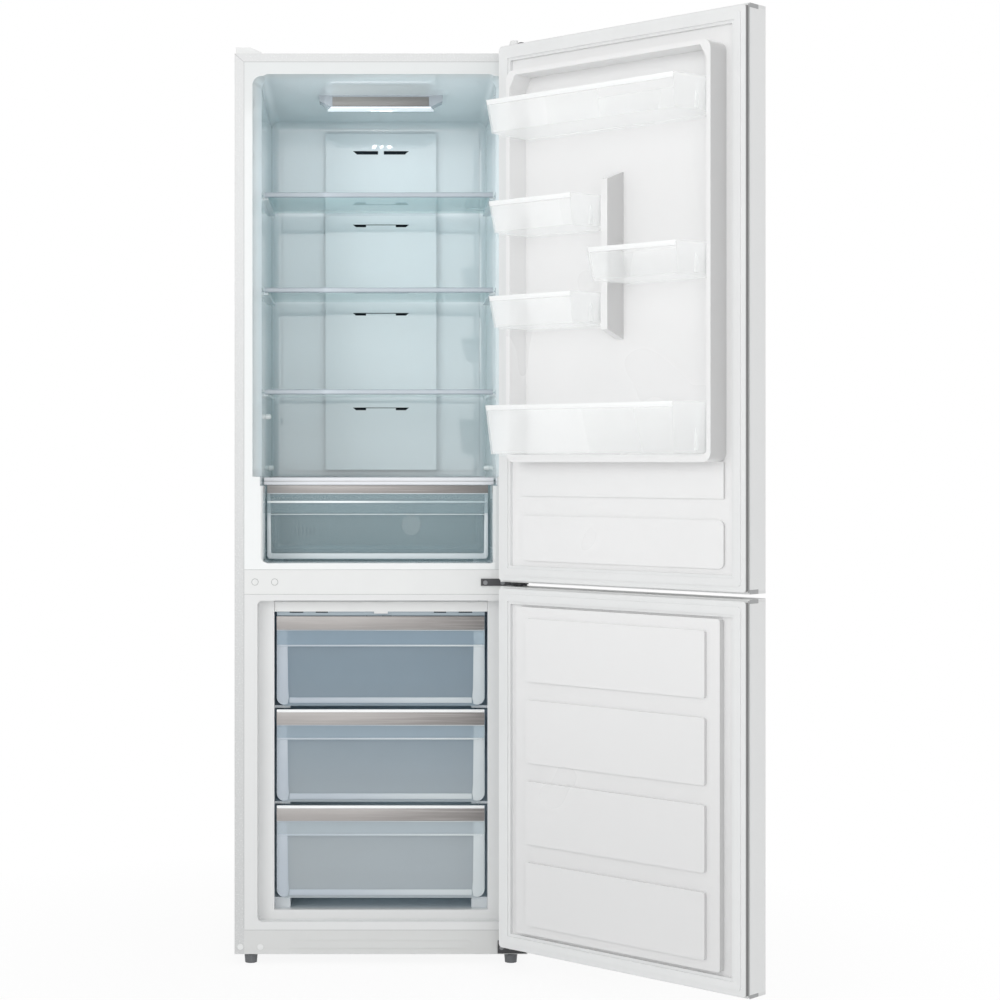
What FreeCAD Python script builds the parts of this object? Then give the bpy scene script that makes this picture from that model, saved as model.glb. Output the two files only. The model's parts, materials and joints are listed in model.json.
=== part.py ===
import FreeCAD, Part
import math
import os

# Bottom freezer refrigerator, millimetres.
# X runs along the front, Y into the cabinet, Z up. The origin is on the floor, at the middle of the
# cabinet's front plane. Both doors are modelled closed and then turned open about the hinge pins.

# Driving dimensions of the cabinet
cabinet_width = 595.0
cabinet_height = 1830.0
cabinet_depth = 575.0
ground_gap = 20.0
steel_sheet = 0.8
liner_wall = 2.0
side_flange = 19.6
top_flange = 17.5
kick_height = 49.0
freezer_front_height = 682.0
mullion_height = 50.0

# Fridge compartment
fridge_side_wall = 51.5
hinge_side_extra = 9.0
fridge_rear_wall = 75.0
ceiling_lip = 24.5
ceiling_fall = 22.0
fridge_floor_lip = 13.0
bay_height = 189.0
collar_lip = 15.0
collar_depth = 65.0
corner_radius = 18.0

# Freezer compartment
freezer_side_wall = 79.5
freezer_floor_lip = 36.0
recess_lip_side = 26.9
recess_lip_bottom = 17.0
recess_lip_top = 13.0
recess_depth = 25.0
machine_depth = 205.0
machine_height = 215.0
machine_side_foam = 15.0
step_foam = 52.0
step_front_foam = 10.0
front_beam_height = 30.0

# Doors
door_thickness = 55.0
door_gap = 10.0
door_top_rise = 1.0
door_bottom_rise = 29.0
hinge_from_side = 18.5
hinge_from_inner_face = 40.0
between_doors = 9.2
upper_door_bottom_drop = 20.5
door_open_angle = 136.0
end_cap_height = 6.0
ridge_height = 50.0
ridge_wall = 9.0
ridge_bottom_wall = 14.0
ridge_radius = 18.0
ridge_chamfer_across = 14.0
ridge_chamfer_up = 25.0
ridge_clearance = 13.5
ridge_top_drop = 21.0
ridge_bottom_rise = 219.0
ridge_skin = 2.0
embossing = 5.0
frame_rise = 14.0
frame_side_gap = 8.5
frame_end_gap = 4.0
grip_length = 265.0
grip_from_door_end = 71.0
grip_width = 32.0
grip_depth = 21.0
grip_lip = 3.0
grip_wall = 1.5

# Gasket
gasket_inset = 3.5
gasket_width = 30.0
gasket_base_inset = 9.0
gasket_base_height = 4.5
gasket_lip_height = 7.0
gasket_bulb_inset = 14.0
gasket_bulb_width = 14.0
gasket_height = 9.5

# Shelves
shelf_glass_thickness = 4.0
shelf_front_y = 130.0
shelf_rear_gap = 47.0
shelf_side_gap = 2.5
top_shelf_drop = 227.0
bottom_shelf_rise = 181.0
middle_shelf_share = 0.517
shelf_trim_height = 10.5
shelf_trim_depth = 12.0
shelf_trim_rise = 3.5
ledge_width = 10.0
ledge_height = 6.0
rest_gap = 0.4

# Crisper
cover_front_y = 108.0
cover_rear_gap = 26.0
cover_trim_height = 14.8
cover_trim_depth = 16.0
cover_glass_drop = 4.0
crisper_rise = 14.0
crisper_height = 143.5
crisper_side_gap_left = 8.5
crisper_side_gap_right = 13.6
crisper_plate_drop = 11.5
cheek_left = 6.4
cheek_right = 9.6
cheek_radius = 6.0
crisper_rear_gap = 52.0

# Freezer drawers
drawer_front_y = 33.0
drawer_side_gap = 5.0
drawer_floor_gap = 22.0
lower_drawer_height = 189.5
top_drawer_gap = 6.1
top_panel_drop = 24.0
top_panel_tab = 4.0
drawer_pitch_gap = 7.2
drawer_rear_gap = 5.0
fan_room = 72.0
drawer_wall = 2.4
drawer_radius = 20.0
front_plate = 4.0
pull_band_height = 58.0
pull_band_depth = 8.0

# Door bins
bin_wall = 2.4
bin_end_gap = 1.0
bin_front_taper = 11.5
bin_reach = 126.0
top_bin_reach = 134.0
bottom_bin_reach = 136.0
small_bin_height = 60.0
top_bin_height = 63.0
bottom_bin_height = 94.0
top_bin_drop = 60.0
bottom_bin_rise = 1.0
bin_floor_draft = 12.0
rib_width = 16.0
rib_slope = 18.0
lug_size = 22.0
lug_reach = 5.0

# Fittings
pin_radius = 5.0
pin_fit = 0.05
bush_wall = 4.0
bush_room_gap = 0.3
hinge_head_margin = 9.0
hinge_cover_height = 11.5
hinge_cover_width = 34.0
hinge_plate = 3.0
screw_head = 4.5
foot_from_side = 32.5
foot_y = 20.0
foot_radius = 13.5
foot_pan_gap = 3.0
stud_radius = 5.0
roller_radius = 15.0
roller_width = 18.0
roller_from_side = 42.5
roller_from_back = 45.0
axle_radius = 4.0
lamp_width = 262.0
lamp_face_width = 209.0
lamp_depth = 46.0
lamp_drop = 28.0
lens_thickness = 2.5
lens_front = 7.0
lens_mitre = 8.5
lamp_y = 200.0
rear_panel_inset = 15.0
rear_panel_thickness = 3.0
duct_width = 250.0
duct_upper_depth = 12.0
duct_lower_depth = 20.0
duct_wall = 2.2
fan_radius = 48.0
condenser_pitch = 56.0
condenser_tube = 2.5

# Places worked out from the dimensions above
half_width = cabinet_width / 2
body_bottom = ground_gap
body_top = ground_gap + cabinet_height
kick_top = body_bottom + kick_height
freezer_front_top = kick_top + freezer_front_height
mullion_top = freezer_front_top + mullion_height
front_half = half_width - side_flange
lip_top = body_top - top_flange

fridge_left = -half_width + fridge_side_wall
fridge_right = half_width - fridge_side_wall - hinge_side_extra
fridge_middle = (fridge_left + fridge_right) / 2
fridge_rear = cabinet_depth - fridge_rear_wall
fridge_floor = mullion_top + fridge_floor_lip
ceiling_front = lip_top - ceiling_lip
ceiling_rear = ceiling_front - ceiling_fall
bay_top = mullion_top + bay_height

freezer_half = half_width - freezer_side_wall
freezer_rear = fridge_rear
freezer_floor = kick_top + freezer_floor_lip
recess_half = front_half - recess_lip_side
recess_bottom = kick_top + recess_lip_bottom
recess_top = freezer_front_top - recess_lip_top
machine_top = body_bottom + machine_height
machine_front = cabinet_depth - machine_depth
step_y = machine_front - step_foam - step_front_foam
step_top = machine_top + step_foam

door_inner_y = -door_gap
door_outer_y = -door_gap - door_thickness
pin_x = half_width - hinge_from_side
pin_y = door_inner_y - hinge_from_inner_face
upper_door_bottom = mullion_top - upper_door_bottom_drop
upper_door_top = body_top + door_top_rise
lower_door_top = upper_door_bottom - between_doors
lower_door_bottom = body_bottom + door_bottom_rise

ridge_left = fridge_left - collar_lip + ridge_clearance
ridge_right = fridge_right + collar_lip - ridge_clearance
ridge_bottom = mullion_top + ridge_bottom_rise
ridge_top = ceiling_front - ridge_top_drop
ridge_inner_left = ridge_left + ridge_wall
ridge_inner_right = ridge_right - ridge_wall

frame_half = recess_half - frame_side_gap
frame_low = recess_bottom + frame_end_gap
frame_high = recess_top - frame_end_gap

cover_top = bay_top - 2.7
shelf_tops = {
    "lower": cover_top + bottom_shelf_rise,
    "upper": ceiling_front - top_shelf_drop,
}
shelf_tops["middle"] = shelf_tops["lower"] + middle_shelf_share * (shelf_tops["upper"] - shelf_tops["lower"])

shelf_depth = fridge_rear - shelf_rear_gap - shelf_front_y
cover_depth = fridge_rear - cover_rear_gap - cover_front_y
crisper_depth = fridge_rear - crisper_rear_gap - cover_front_y
rear_panel_half = min(-fridge_left, fridge_right) - rear_panel_inset
fan_wall_y = freezer_rear - fan_room
foot_pad_height = ground_gap - foot_pan_gap
bush_radius = pin_radius + pin_fit + bush_wall
hinge_head = pin_radius + hinge_head_margin

drawer_depth = fan_wall_y - drawer_rear_gap - drawer_front_y
drawer_half = freezer_half - drawer_side_gap
drawer_bottoms = {"bottom": freezer_floor + drawer_floor_gap}
drawer_bottoms["middle"] = drawer_bottoms["bottom"] + lower_drawer_height + drawer_pitch_gap
drawer_bottoms["top"] = drawer_bottoms["middle"] + lower_drawer_height + drawer_pitch_gap
top_panel_low = recess_top - top_panel_drop - top_panel_tab
drawer_heights = {"bottom": lower_drawer_height, "middle": lower_drawer_height}
drawer_heights["top"] = top_panel_low - top_drawer_gap - drawer_bottoms["top"]

top_bin_floor = ridge_top - ridge_wall - top_bin_drop - top_bin_height
bottom_bin_floor = ridge_bottom + ridge_bottom_wall + bottom_bin_rise
bins_low = bottom_bin_floor + bottom_bin_height
bins_clear = top_bin_floor - bins_low
rib_x = fridge_middle


def point(x, y, z):
    return FreeCAD.Vector(x, y, z)


def box(low, high):
    size = [high[i] - low[i] for i in range(3)]
    return Part.makeBox(size[0], size[1], size[2], point(*low))


def cylinder(radius, start, along, length):
    return Part.makeCylinder(radius, length, point(*start), point(*along))


def prism(corners, along):
    """A flat outline of 3-D corners, pushed along a vector."""
    outline = Part.makePolygon([point(*c) for c in corners] + [point(*corners[0])])
    return Part.Face(outline).extrude(point(*along))


def join(shapes):
    return shapes[0].multiFuse(shapes[1:]).removeSplitter()


def edges_along(shape, axis, test=None):
    """Straight edges parallel to an axis, kept where the test on their middle holds."""
    found = []
    for edge in shape.Edges:
        if edge.Curve.TypeId != "Part::GeomLine":
            continue
        direction = edge.Curve.Direction
        if abs(abs(direction.dot(point(*axis))) - 1) > 1e-6:
            continue
        if test is None or test(edge.CenterOfMass):
            found.append(edge)
    return found


def rounded_box(low, high, axis, radius):
    shape = box(low, high)
    return shape.makeFillet(radius, edges_along(shape, axis))


def tub(low, high, radius, wall):
    """An open box with round upright and bottom edges."""
    outer = box(low, high)
    upright = edges_along(outer, (0, 0, 1))
    outer = outer.makeFillet(radius, upright)
    bottom = [e for e in outer.Edges if abs(e.BoundBox.ZMax - low[2]) < 1e-6]
    outer = outer.makeFillet(radius - wall, bottom)
    inner = box([low[0] + wall, low[1] + wall, low[2] + wall], [high[0] - wall, high[1] - wall, high[2] + wall])
    inner = inner.makeFillet(radius - wall, edges_along(inner, (0, 0, 1)))
    bottom = [e for e in inner.Edges if abs(e.BoundBox.ZMax - low[2] - wall) < 1e-6]
    inner = inner.makeFillet(radius - 2 * wall, bottom)
    return outer.cut(inner)


def bent_tube(route, radius, bend):
    """A round tube along a route whose corners are arcs of one bend radius."""
    points = [point(*p) for p in route]
    edges = []
    start = points[0]
    for before, corner, after in zip(points, points[1:], points[2:]):
        to_corner = (corner - before).normalize()
        from_corner = (after - corner).normalize()
        turn = math.acos(max(-1, min(1, to_corner.dot(from_corner))))
        back = bend * math.tan(turn / 2)
        arc_start = corner - to_corner * back
        arc_end = corner + from_corner * back
        towards_centre = (from_corner - to_corner).normalize()
        arc_middle = corner + towards_centre * (bend / math.cos(turn / 2) - bend)
        edges.append(Part.LineSegment(start, arc_start).toShape())
        edges.append(Part.Arc(arc_start, arc_middle, arc_end).toShape())
        start = arc_end
    edges.append(Part.LineSegment(start, points[-1]).toShape())
    spine = Part.Wire(edges)
    ring = Part.Wire(Part.makeCircle(radius, points[0], points[1] - points[0]))
    return spine.makePipeShell([ring], True, False)


def opened(shape):
    """Turns a door piece from closed to open about the hinge pins."""
    turned = shape.copy()
    turned.rotate(point(pin_x, pin_y, 0), point(0, 0, 1), door_open_angle)
    return turned


# Cabinet body

def outer_shell():
    left, right = -half_width, half_width
    sheets = [
        box([left, 0, body_bottom], [left + steel_sheet, cabinet_depth, body_top]),
        box([right - steel_sheet, 0, body_bottom], [right, cabinet_depth, body_top]),
        box([left, 0, body_top - steel_sheet], [right, cabinet_depth, body_top]),
        box([left, 0, body_bottom], [-front_half, steel_sheet, body_top]),
        box([front_half, 0, body_bottom], [right, steel_sheet, body_top]),
        box([left, 0, lip_top], [right, steel_sheet, body_top]),
    ]
    return join(sheets)


def back_panel():
    inside = half_width - steel_sheet
    return box([-inside, cabinet_depth - steel_sheet, machine_top], [inside, cabinet_depth, body_top - steel_sheet])


def roller_place():
    return half_width - roller_from_side, cabinet_depth - roller_from_back


def base_pan():
    inside = half_width - steel_sheet
    pan_sheet = 1.2
    pieces = [box([-inside, liner_wall, body_bottom], [inside, cabinet_depth, body_bottom + pan_sheet])]
    slots = []
    roller_x, roller_y = roller_place()
    ear_gap = 1.0
    ear = 2.0
    for side in (-1, 1):
        x = side * roller_x
        half = roller_width / 2 + ear_gap
        slots.append(
            box([x - half, roller_y - roller_radius - 3, body_bottom - 1],
                [x + half, roller_y + roller_radius + 3, body_bottom + pan_sheet + 1])
        )
        for ear_x in (x - half - ear, x + half):
            pieces.append(
                box([ear_x, roller_y - 10, roller_radius - 8], [ear_x + ear, roller_y + 10, body_bottom + pan_sheet])
            )
        pieces.append(
            cylinder(axle_radius, (x - half - ear - 2, roller_y, roller_radius), (1, 0, 0), 2 * (half + ear + 2))
        )
        boss = cylinder(9, (side * (half_width - foot_from_side), foot_y + 3, body_bottom), (0, 0, 1), 27)
        pieces.append(boss)
        slots.append(
            cylinder(stud_radius + pin_fit, (side * (half_width - foot_from_side), foot_y, body_bottom - 1), (0, 0, 1), 40)
        )
    plate = pieces[0].cut(slots[0]).cut(slots[2])
    pan = join([plate] + pieces[1:])
    return pan.cut(slots[1]).cut(slots[3])


def ceiling_at(y):
    return ceiling_front - ceiling_fall * y / fridge_rear


def beyond_ceiling(grow):
    """Everything above the sloping ceiling, moved up by the growth."""
    high = body_top + 100
    corners = [
        (-half_width, -1, ceiling_at(-1) + grow),
        (-half_width, cabinet_depth, ceiling_at(cabinet_depth) + grow),
        (-half_width, cabinet_depth, high),
        (-half_width, -1, high),
    ]
    return prism(corners, (cabinet_width, 0, 0))


def insulation():
    """Foam in slabs that touch, so that each wall of the cavities stays a plain convex block."""
    skin = half_width - steel_sheet
    rear = cabinet_depth - steel_sheet
    top = body_top - steel_sheet
    front = liner_wall
    left_in = fridge_left - liner_wall
    right_in = fridge_right + liner_wall
    freezer_in = freezer_half + liner_wall
    rear_in = fridge_rear + liner_wall
    shoulder = fridge_floor - liner_wall
    recess_in = recess_half + liner_wall
    recess_back = recess_depth + liner_wall
    freezer_roof = recess_top + liner_wall
    beam_top = body_bottom + front_beam_height
    split = freezer_roof
    collar_base = bay_top - liner_wall
    slabs = []
    above = beyond_ceiling(liner_wall)
    slabs.append(above.common(box([-skin, front, ceiling_at(cabinet_depth)], [skin, rear, top])))
    for side, wall in ((-1, left_in), (1, right_in)):
        corners = [
            (side * skin, front, collar_base),
            (wall + side * collar_lip, front, collar_base),
            (wall, collar_depth, collar_base),
            (wall, rear, collar_base),
            (side * skin, rear, collar_base),
        ]
        upper = prism(corners, (0, 0, top - collar_base))
        slabs.append(upper.cut(above))
        low_x, high_x = sorted((side * skin, wall))
        slabs.append(box([low_x, front, split], [high_x, rear, collar_base]))
    back = box([left_in, rear_in, split], [right_in, rear, top])
    slabs.append(back.cut(above))
    slabs.append(box([left_in, front, split], [right_in, rear_in, shoulder]))
    for side in (-1, 1):
        low_x, high_x = sorted((side * skin, side * freezer_in))
        slabs.append(box([low_x, recess_back, machine_top], [high_x, rear, split]))
        slabs.append(box([low_x, recess_back, beam_top], [high_x, machine_front, machine_top]))
        low_x, high_x = sorted((side * skin, side * recess_in))
        slabs.append(box([low_x, front, beam_top], [high_x, recess_back, split]))
        low_x, high_x = sorted((side * skin, side * (skin - machine_side_foam)))
        slabs.append(box([low_x, machine_front, body_bottom + 2], [high_x, rear, machine_top]))
    floor_under = freezer_floor - liner_wall
    slabs.append(box([-recess_in, front, beam_top], [recess_in, recess_back, recess_bottom - liner_wall]))
    slabs.append(box([-freezer_in, recess_back, beam_top], [freezer_in, step_y + liner_wall, floor_under]))
    slabs.append(box([-freezer_in, step_y + liner_wall, beam_top], [freezer_in, machine_front, step_top - liner_wall]))
    slabs.append(box([-freezer_in, machine_front, machine_top], [freezer_in, rear_in, step_top - liner_wall]))
    slabs.append(box([-freezer_in, rear_in, machine_top], [freezer_in, rear, split]))
    return Part.makeCompound(slabs)


def fridge_cavity(grow):
    low = fridge_floor - grow
    x = fridge_left - grow
    back = fridge_rear + grow
    corners = [
        (x, -1, low),
        (x, back, low),
        (x, back, ceiling_at(back) + grow),
        (x, -1, ceiling_at(-1) + grow),
    ]
    main = prism(corners, (fridge_right - fridge_left + 2 * grow, 0, 0))
    round_edges = [e for e in main.Edges if abs(e.CenterOfMass.y + 1) > 1e-6]
    return main.makeFillet(corner_radius + grow, round_edges)


def fridge_collar(grow):
    """The wider mouth above the crisper bay, which takes the door's raised frame."""
    low = bay_top - grow
    mouth_left = fridge_left - collar_lip - grow
    mouth_right = fridge_right + collar_lip + grow
    corners = [
        (mouth_left, 0, low),
        (mouth_right, 0, low),
        (fridge_right + grow, collar_depth, low),
        (fridge_left - grow, collar_depth, low),
    ]
    high = ceiling_at(collar_depth) - 1 + grow
    body = prism(corners, (0, 0, high - low))
    side_edges = []
    for edge in body.Edges:
        middle = edge.CenterOfMass
        if abs(middle.z - high) < 1e-6 and abs(middle.x - fridge_middle) > 50:
            side_edges.append(edge)
    return body.makeFillet(corner_radius + grow, side_edges)


def fridge_liner():
    cavity = fridge_cavity(0).fuse(fridge_collar(0))
    flange = box([-front_half, 0, mullion_top], [front_half, liner_wall, lip_top])
    shell = flange.fuse(fridge_cavity(liner_wall).common(box([-half_width, 0, 0], [half_width, cabinet_depth, body_top])))
    shell = shell.fuse(fridge_collar(liner_wall)).cut(cavity)
    extras = []
    ledge_end = shelf_front_y + shelf_depth
    ledge_tops = [top - shelf_glass_thickness - rest_gap for top in shelf_tops.values()]
    for ledge_top in ledge_tops:
        for x in (fridge_left - 1, fridge_right - ledge_width + 1):
            extras.append(
                box([x, shelf_front_y + 20, ledge_top - ledge_height], [x + ledge_width, ledge_end, ledge_top])
            )
    cover_ledge = cover_top - cover_glass_drop - shelf_glass_thickness - rest_gap
    for x in (fridge_left - 1, fridge_right - ledge_width + 3):
        extras.append(
            box([x, cover_front_y + 30, cover_ledge - 5], [x + ledge_width - 2, cover_front_y + cover_depth, cover_ledge])
        )
    for x in (fridge_left + 32, fridge_right - 42):
        extras.append(
            box([x, cover_front_y + 60, fridge_floor - 1], [x + 8, fridge_rear - 60, fridge_floor + crisper_rise - rest_gap])
        )
    cheek_top = cover_top - cover_trim_height - 1
    for x, inward in ((fridge_left, cheek_left), (fridge_right, -cheek_right)):
        low_x, high_x = sorted((x - math.copysign(1, inward), x + inward))
        cheek = box([low_x, 0, fridge_floor - 1], [high_x, cover_front_y - 4, cheek_top])
        extras.append(cheek.makeFillet(cheek_radius, edges_along(cheek, (0, 0, 1), lambda m: m.y < 1 and abs(m.x) < abs(x))))
    extras.append(
        rounded_box([-rear_panel_half, fridge_rear - rear_panel_thickness, bay_top + 10],
                    [rear_panel_half, fridge_rear + 1, ceiling_rear - 18], (0, 1, 0), corner_radius)
    )
    return join([shell] + extras)


def freezer_cavity(grow):
    x = -freezer_half - grow
    corners = [
        (x, recess_depth - 1, freezer_floor - grow),
        (x, step_y + grow, freezer_floor - grow),
        (x, step_y + grow, step_top - grow),
        (x, freezer_rear + grow, step_top - grow),
        (x, freezer_rear + grow, recess_top + grow),
        (x, recess_depth - 1, recess_top + grow),
    ]
    return prism(corners, (2 * (freezer_half + grow), 0, 0))


def freezer_recess(grow, front):
    return rounded_box(
        [-recess_half - grow, front, recess_bottom - grow],
        [recess_half + grow, recess_depth + grow, recess_top + grow],
        (0, 1, 0),
        10,
    )


def freezer_liner():
    flange = box([-front_half, 0, kick_top], [front_half, liner_wall, freezer_front_top])
    grown = freezer_cavity(liner_wall).cut(box([-half_width, 0, 0], [half_width, recess_depth, body_top]))
    shell = join([flange, freezer_recess(liner_wall, 0), grown])
    shell = shell.cut(freezer_recess(0, -1)).cut(freezer_cavity(0))
    ledges = []
    ledge_reach = 32.0
    for level in ("middle", "top"):
        top = drawer_bottoms[level] - rest_gap
        for side in (-1, 1):
            low_x, high_x = sorted((side * (freezer_half + 1), side * (freezer_half - ledge_reach)))
            ledges.append(box([low_x, drawer_front_y + 15, top - 5], [high_x, drawer_front_y + drawer_depth, top]))
    for side in (-1, 1):
        low_x, high_x = sorted((side * (freezer_half + 1), side * (freezer_half - ledge_reach)))
        ledges.append(
            box([low_x, drawer_front_y + 15, freezer_floor - 1],
                [high_x, step_y - 10, drawer_bottoms["bottom"] - rest_gap])
        )
    return join([shell] + ledges)


def mullion_rail():
    return box([-front_half, 0, freezer_front_top], [front_half, liner_wall, mullion_top])


def kick_panel():
    plate = box([-front_half, 0, body_bottom], [front_half, liner_wall, kick_top])
    bar_half = front_half - 95
    bar = rounded_box([-bar_half, -1.5, body_bottom + 13], [bar_half, 1, body_bottom + 27], (0, 1, 0), 6)
    return plate.fuse(bar).removeSplitter()


# Fittings in the fridge compartment

def duct_outline(grow):
    back = fridge_rear - rear_panel_thickness
    low = bay_top + 12 + grow
    step = shelf_tops["upper"] + 2
    high = ceiling_rear - 25 - grow
    upper = back - duct_upper_depth + grow
    lower = back - duct_lower_depth + grow
    half = duct_width / 2 - grow
    corners = [
        (-half, back + grow, low),
        (-half, lower, low),
        (-half, lower, step - 8),
        (-half, upper, step),
        (-half, upper, high),
        (-half, back + grow, high),
    ]
    return prism(corners, (2 * half, 0, 0))


def duct_cover():
    back = fridge_rear - rear_panel_thickness
    cover = duct_outline(0).cut(duct_outline(duct_wall))
    cover = cover.common(box([-half_width, 0, 0], [half_width, back, body_top]))
    rows = [(ceiling_front - 94, 8.0, 57.0)]
    for top in shelf_tops.values():
        rows.append((top - 32, 6.0, 30.0))
    slots = []
    deep = 30.0
    reach = 63.5
    for low, height, length in rows:
        for side in (-1, 1):
            corners = [
                (side * (reach - length), back - deep, low),
                (side * (reach - 1.2 * height), back - deep, low),
                (side * reach, back - deep, low + height),
                (side * (reach - length), back - deep, low + height),
            ]
            slots.append(prism(corners, (0, deep, 0)))
    for low, height, length in rows[1:]:
        inner = reach - length
        slots.append(box([-inner, back - deep, low + height - 1.6], [inner, back, low + height]))
    return cover.cut(Part.makeCompound(slots))


def lamp_housing():
    low = ceiling_front - 6 - lamp_drop
    half = lamp_width / 2
    face = lamp_face_width / 2
    high = body_top
    corners = [
        (-half, lamp_y, high),
        (-half, lamp_y, low + 13),
        (-face, lamp_y, low),
        (face, lamp_y, low),
        (half, lamp_y, low + 13),
        (half, lamp_y, high),
    ]
    outer = prism(corners, (0, lamp_depth, 0)).cut(beyond_ceiling(0))
    wall = 2.0
    hollow = box([-face, lamp_y + wall, low - 1], [face, lamp_y + lamp_depth - wall, low + 20])
    return outer.cut(hollow)


def lamp_lens():
    low = ceiling_front - 6 - lamp_drop
    face = lamp_face_width / 2
    gap = 0.3
    front, rear = lamp_y - lens_front, lamp_y + lamp_depth - 6
    bottom = low - gap - lens_thickness
    corners = [
        (-face - 1, front, bottom),
        (face + 1, front, bottom),
        (face + 1 + lens_mitre, rear, bottom),
        (-face - 1 - lens_mitre, rear, bottom),
    ]
    plate = prism(corners, (0, 0, lens_thickness))
    tray = box([-face + 3, lamp_y + 4, low - gap - 0.1], [face - 3, lamp_y + lamp_depth - 12, low + 6])
    return plate.fuse(tray).removeSplitter()


def shelf_glass(top):
    return box(
        [fridge_left + shelf_side_gap, shelf_front_y + 2, top - shelf_glass_thickness],
        [fridge_right - shelf_side_gap, shelf_front_y + shelf_depth - 2, top],
    )


def shelf_trim(top):
    low_x = fridge_left + shelf_side_gap
    high_x = fridge_right - shelf_side_gap
    high = top + shelf_trim_rise
    bar = box([low_x, shelf_front_y, high - shelf_trim_height], [high_x, shelf_front_y + shelf_trim_depth, high])
    return bar.makeFillet(3.0, edges_along(bar, (1, 0, 0))).cut(shelf_glass(top))


def cover_glass():
    low_x = fridge_left + shelf_side_gap
    high_x = fridge_right - shelf_side_gap
    high = cover_top - cover_glass_drop
    return box([low_x, cover_front_y + 3, high - shelf_glass_thickness], [high_x, cover_front_y + cover_depth - 2, high])


def cover_trim():
    low_x = fridge_left + shelf_side_gap
    high_x = fridge_right - shelf_side_gap
    front = box([low_x, cover_front_y, cover_top - cover_trim_height], [high_x, cover_front_y + cover_trim_depth, cover_top])
    groove = box([low_x - 1, cover_front_y - 1, cover_top - 8.7], [high_x + 1, cover_front_y + 1.5, cover_top - 6.5])
    rear = box(
        [low_x, cover_front_y + cover_depth - 12, cover_top - cover_glass_drop - shelf_glass_thickness],
        [high_x, cover_front_y + cover_depth, cover_top],
    )
    return Part.makeCompound([front.cut(groove).cut(cover_glass()), rear.cut(cover_glass())])


def drawer(low_x, high_x, front_y, bottom, height, depth, side_inset, box_drop, plate_drop=0.0):
    """A see-through drawer: a tub behind a front plate with a pull band along its top."""
    box_front = front_y + pull_band_depth
    body = tub(
        [low_x + side_inset, box_front, bottom],
        [high_x - side_inset, front_y + depth, bottom + height - box_drop],
        drawer_radius,
        drawer_wall,
    )
    top = bottom + height
    plate = box([low_x, box_front - front_plate, bottom - plate_drop], [high_x, box_front, top])
    plate = plate.makeFillet(drawer_radius, edges_along(plate, (0, 1, 0), lambda m: m.z < bottom + 1))
    band = box([low_x, front_y, top - pull_band_height], [high_x, box_front - front_plate + 0.1, top])
    hollow = box(
        [low_x + 4, front_y + 2.5, top - pull_band_height - 1],
        [high_x - 4, box_front - front_plate + 0.05, top - 4],
    )
    return join([body, plate, band.cut(hollow)])


def crisper_drawer():
    return drawer(
        fridge_left + crisper_side_gap_left,
        fridge_right - crisper_side_gap_right,
        cover_front_y,
        fridge_floor + crisper_rise,
        crisper_height,
        crisper_depth,
        4.0,
        34.0,
        crisper_plate_drop,
    )


def freezer_drawer(level):
    depth = drawer_depth
    if level == "bottom":
        depth = step_y - drawer_front_y - 12
    return drawer(
        -drawer_half, drawer_half, drawer_front_y, drawer_bottoms[level], drawer_heights[level], depth, 5.0, 30.0
    )


# Fittings in the freezer compartment

def freezer_top_panel():
    half = freezer_half - 0.4
    high = recess_top - 3
    low = recess_top - top_panel_drop
    y = recess_depth + 2.5
    front = box([-half, y, low], [half, y + 2, high])
    under = box([-half, y, low], [half, y + 80, low + 2])
    slots = []
    slot_length = 25.0
    for share in (-0.8, -0.56, 0.56, 0.8):
        x = share * half
        slots.append(box([x - slot_length / 2, y + 4, low - 1], [x + slot_length / 2, y + 30, low + 3]))
    tab = box([-14, y, top_panel_low], [14, y + 3, low + 1])
    return join([front, under, tab]).cut(Part.makeCompound(slots))


def fan_place():
    return 0.0, fan_wall_y + 8, recess_top - 100


def evaporator_cover():
    fan_z = fan_place()[2]
    y = fan_wall_y
    plate = box([-freezer_half, y, step_top + 1], [freezer_half, y + 3, recess_top])
    openings = []
    for angle in range(0, 360, 60):
        wedge = cylinder(fan_radius + 4, (0, y - 1, fan_z), (0, 1, 0), 5).cut(cylinder(14, (0, y - 2, fan_z), (0, 1, 0), 8))
        turn = math.radians(angle)
        far = 2 * fan_radius
        spread = math.radians(26)
        corners = [
            (0, y - 2, fan_z),
            (far * math.cos(turn - spread), y - 2, fan_z + far * math.sin(turn - spread)),
            (far * math.cos(turn + spread), y - 2, fan_z + far * math.sin(turn + spread)),
        ]
        openings.append(wedge.common(prism(corners, (0, 8, 0))))
    for row in range(4):
        z = step_top + 12 + row * 10
        for number in range(6):
            x = (number - 2.5) * freezer_half / 3.6
            openings.append(box([x - 22, y - 1, z], [x + 22, y + 4, z + 4]))
    return plate.cut(Part.makeCompound(openings))


def fan_motor():
    x, y, z = fan_place()
    can = cylinder(20, (x, y + 24, z), (0, 1, 0), 28)
    shaft = cylinder(2, (x, y - 1, z), (0, 1, 0), 26)
    bar = box([x - 70, y + 30, z - 6], [x + 70, y + 34, z + 6])
    pieces = [can, shaft, bar]
    for side in (-1, 1):
        pieces.append(box([x + side * 66 - 4, fan_wall_y + 3, z - 6], [x + side * 66 + 4, y + 34, z + 6]))
    return join(pieces)


def fan_blade():
    x, y, z = fan_place()
    hub = cylinder(12, (x, y, z), (0, 1, 0), 14)
    blades = [hub]
    for number in range(5):
        blade = box([8, 0, -13], [fan_radius, 1.6, 13])
        blade.rotate(point(0, 0, 0), point(1, 0, 0), 28)
        blade.rotate(point(0, 0, 0), point(0, 1, 0), 72 * number)
        blade.translate(point(x, y + 7, z))
        blades.append(blade)
    bore = cylinder(2 + pin_fit, (x, y - 5, z), (0, 1, 0), 30)
    return join(blades).cut(bore)


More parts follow.
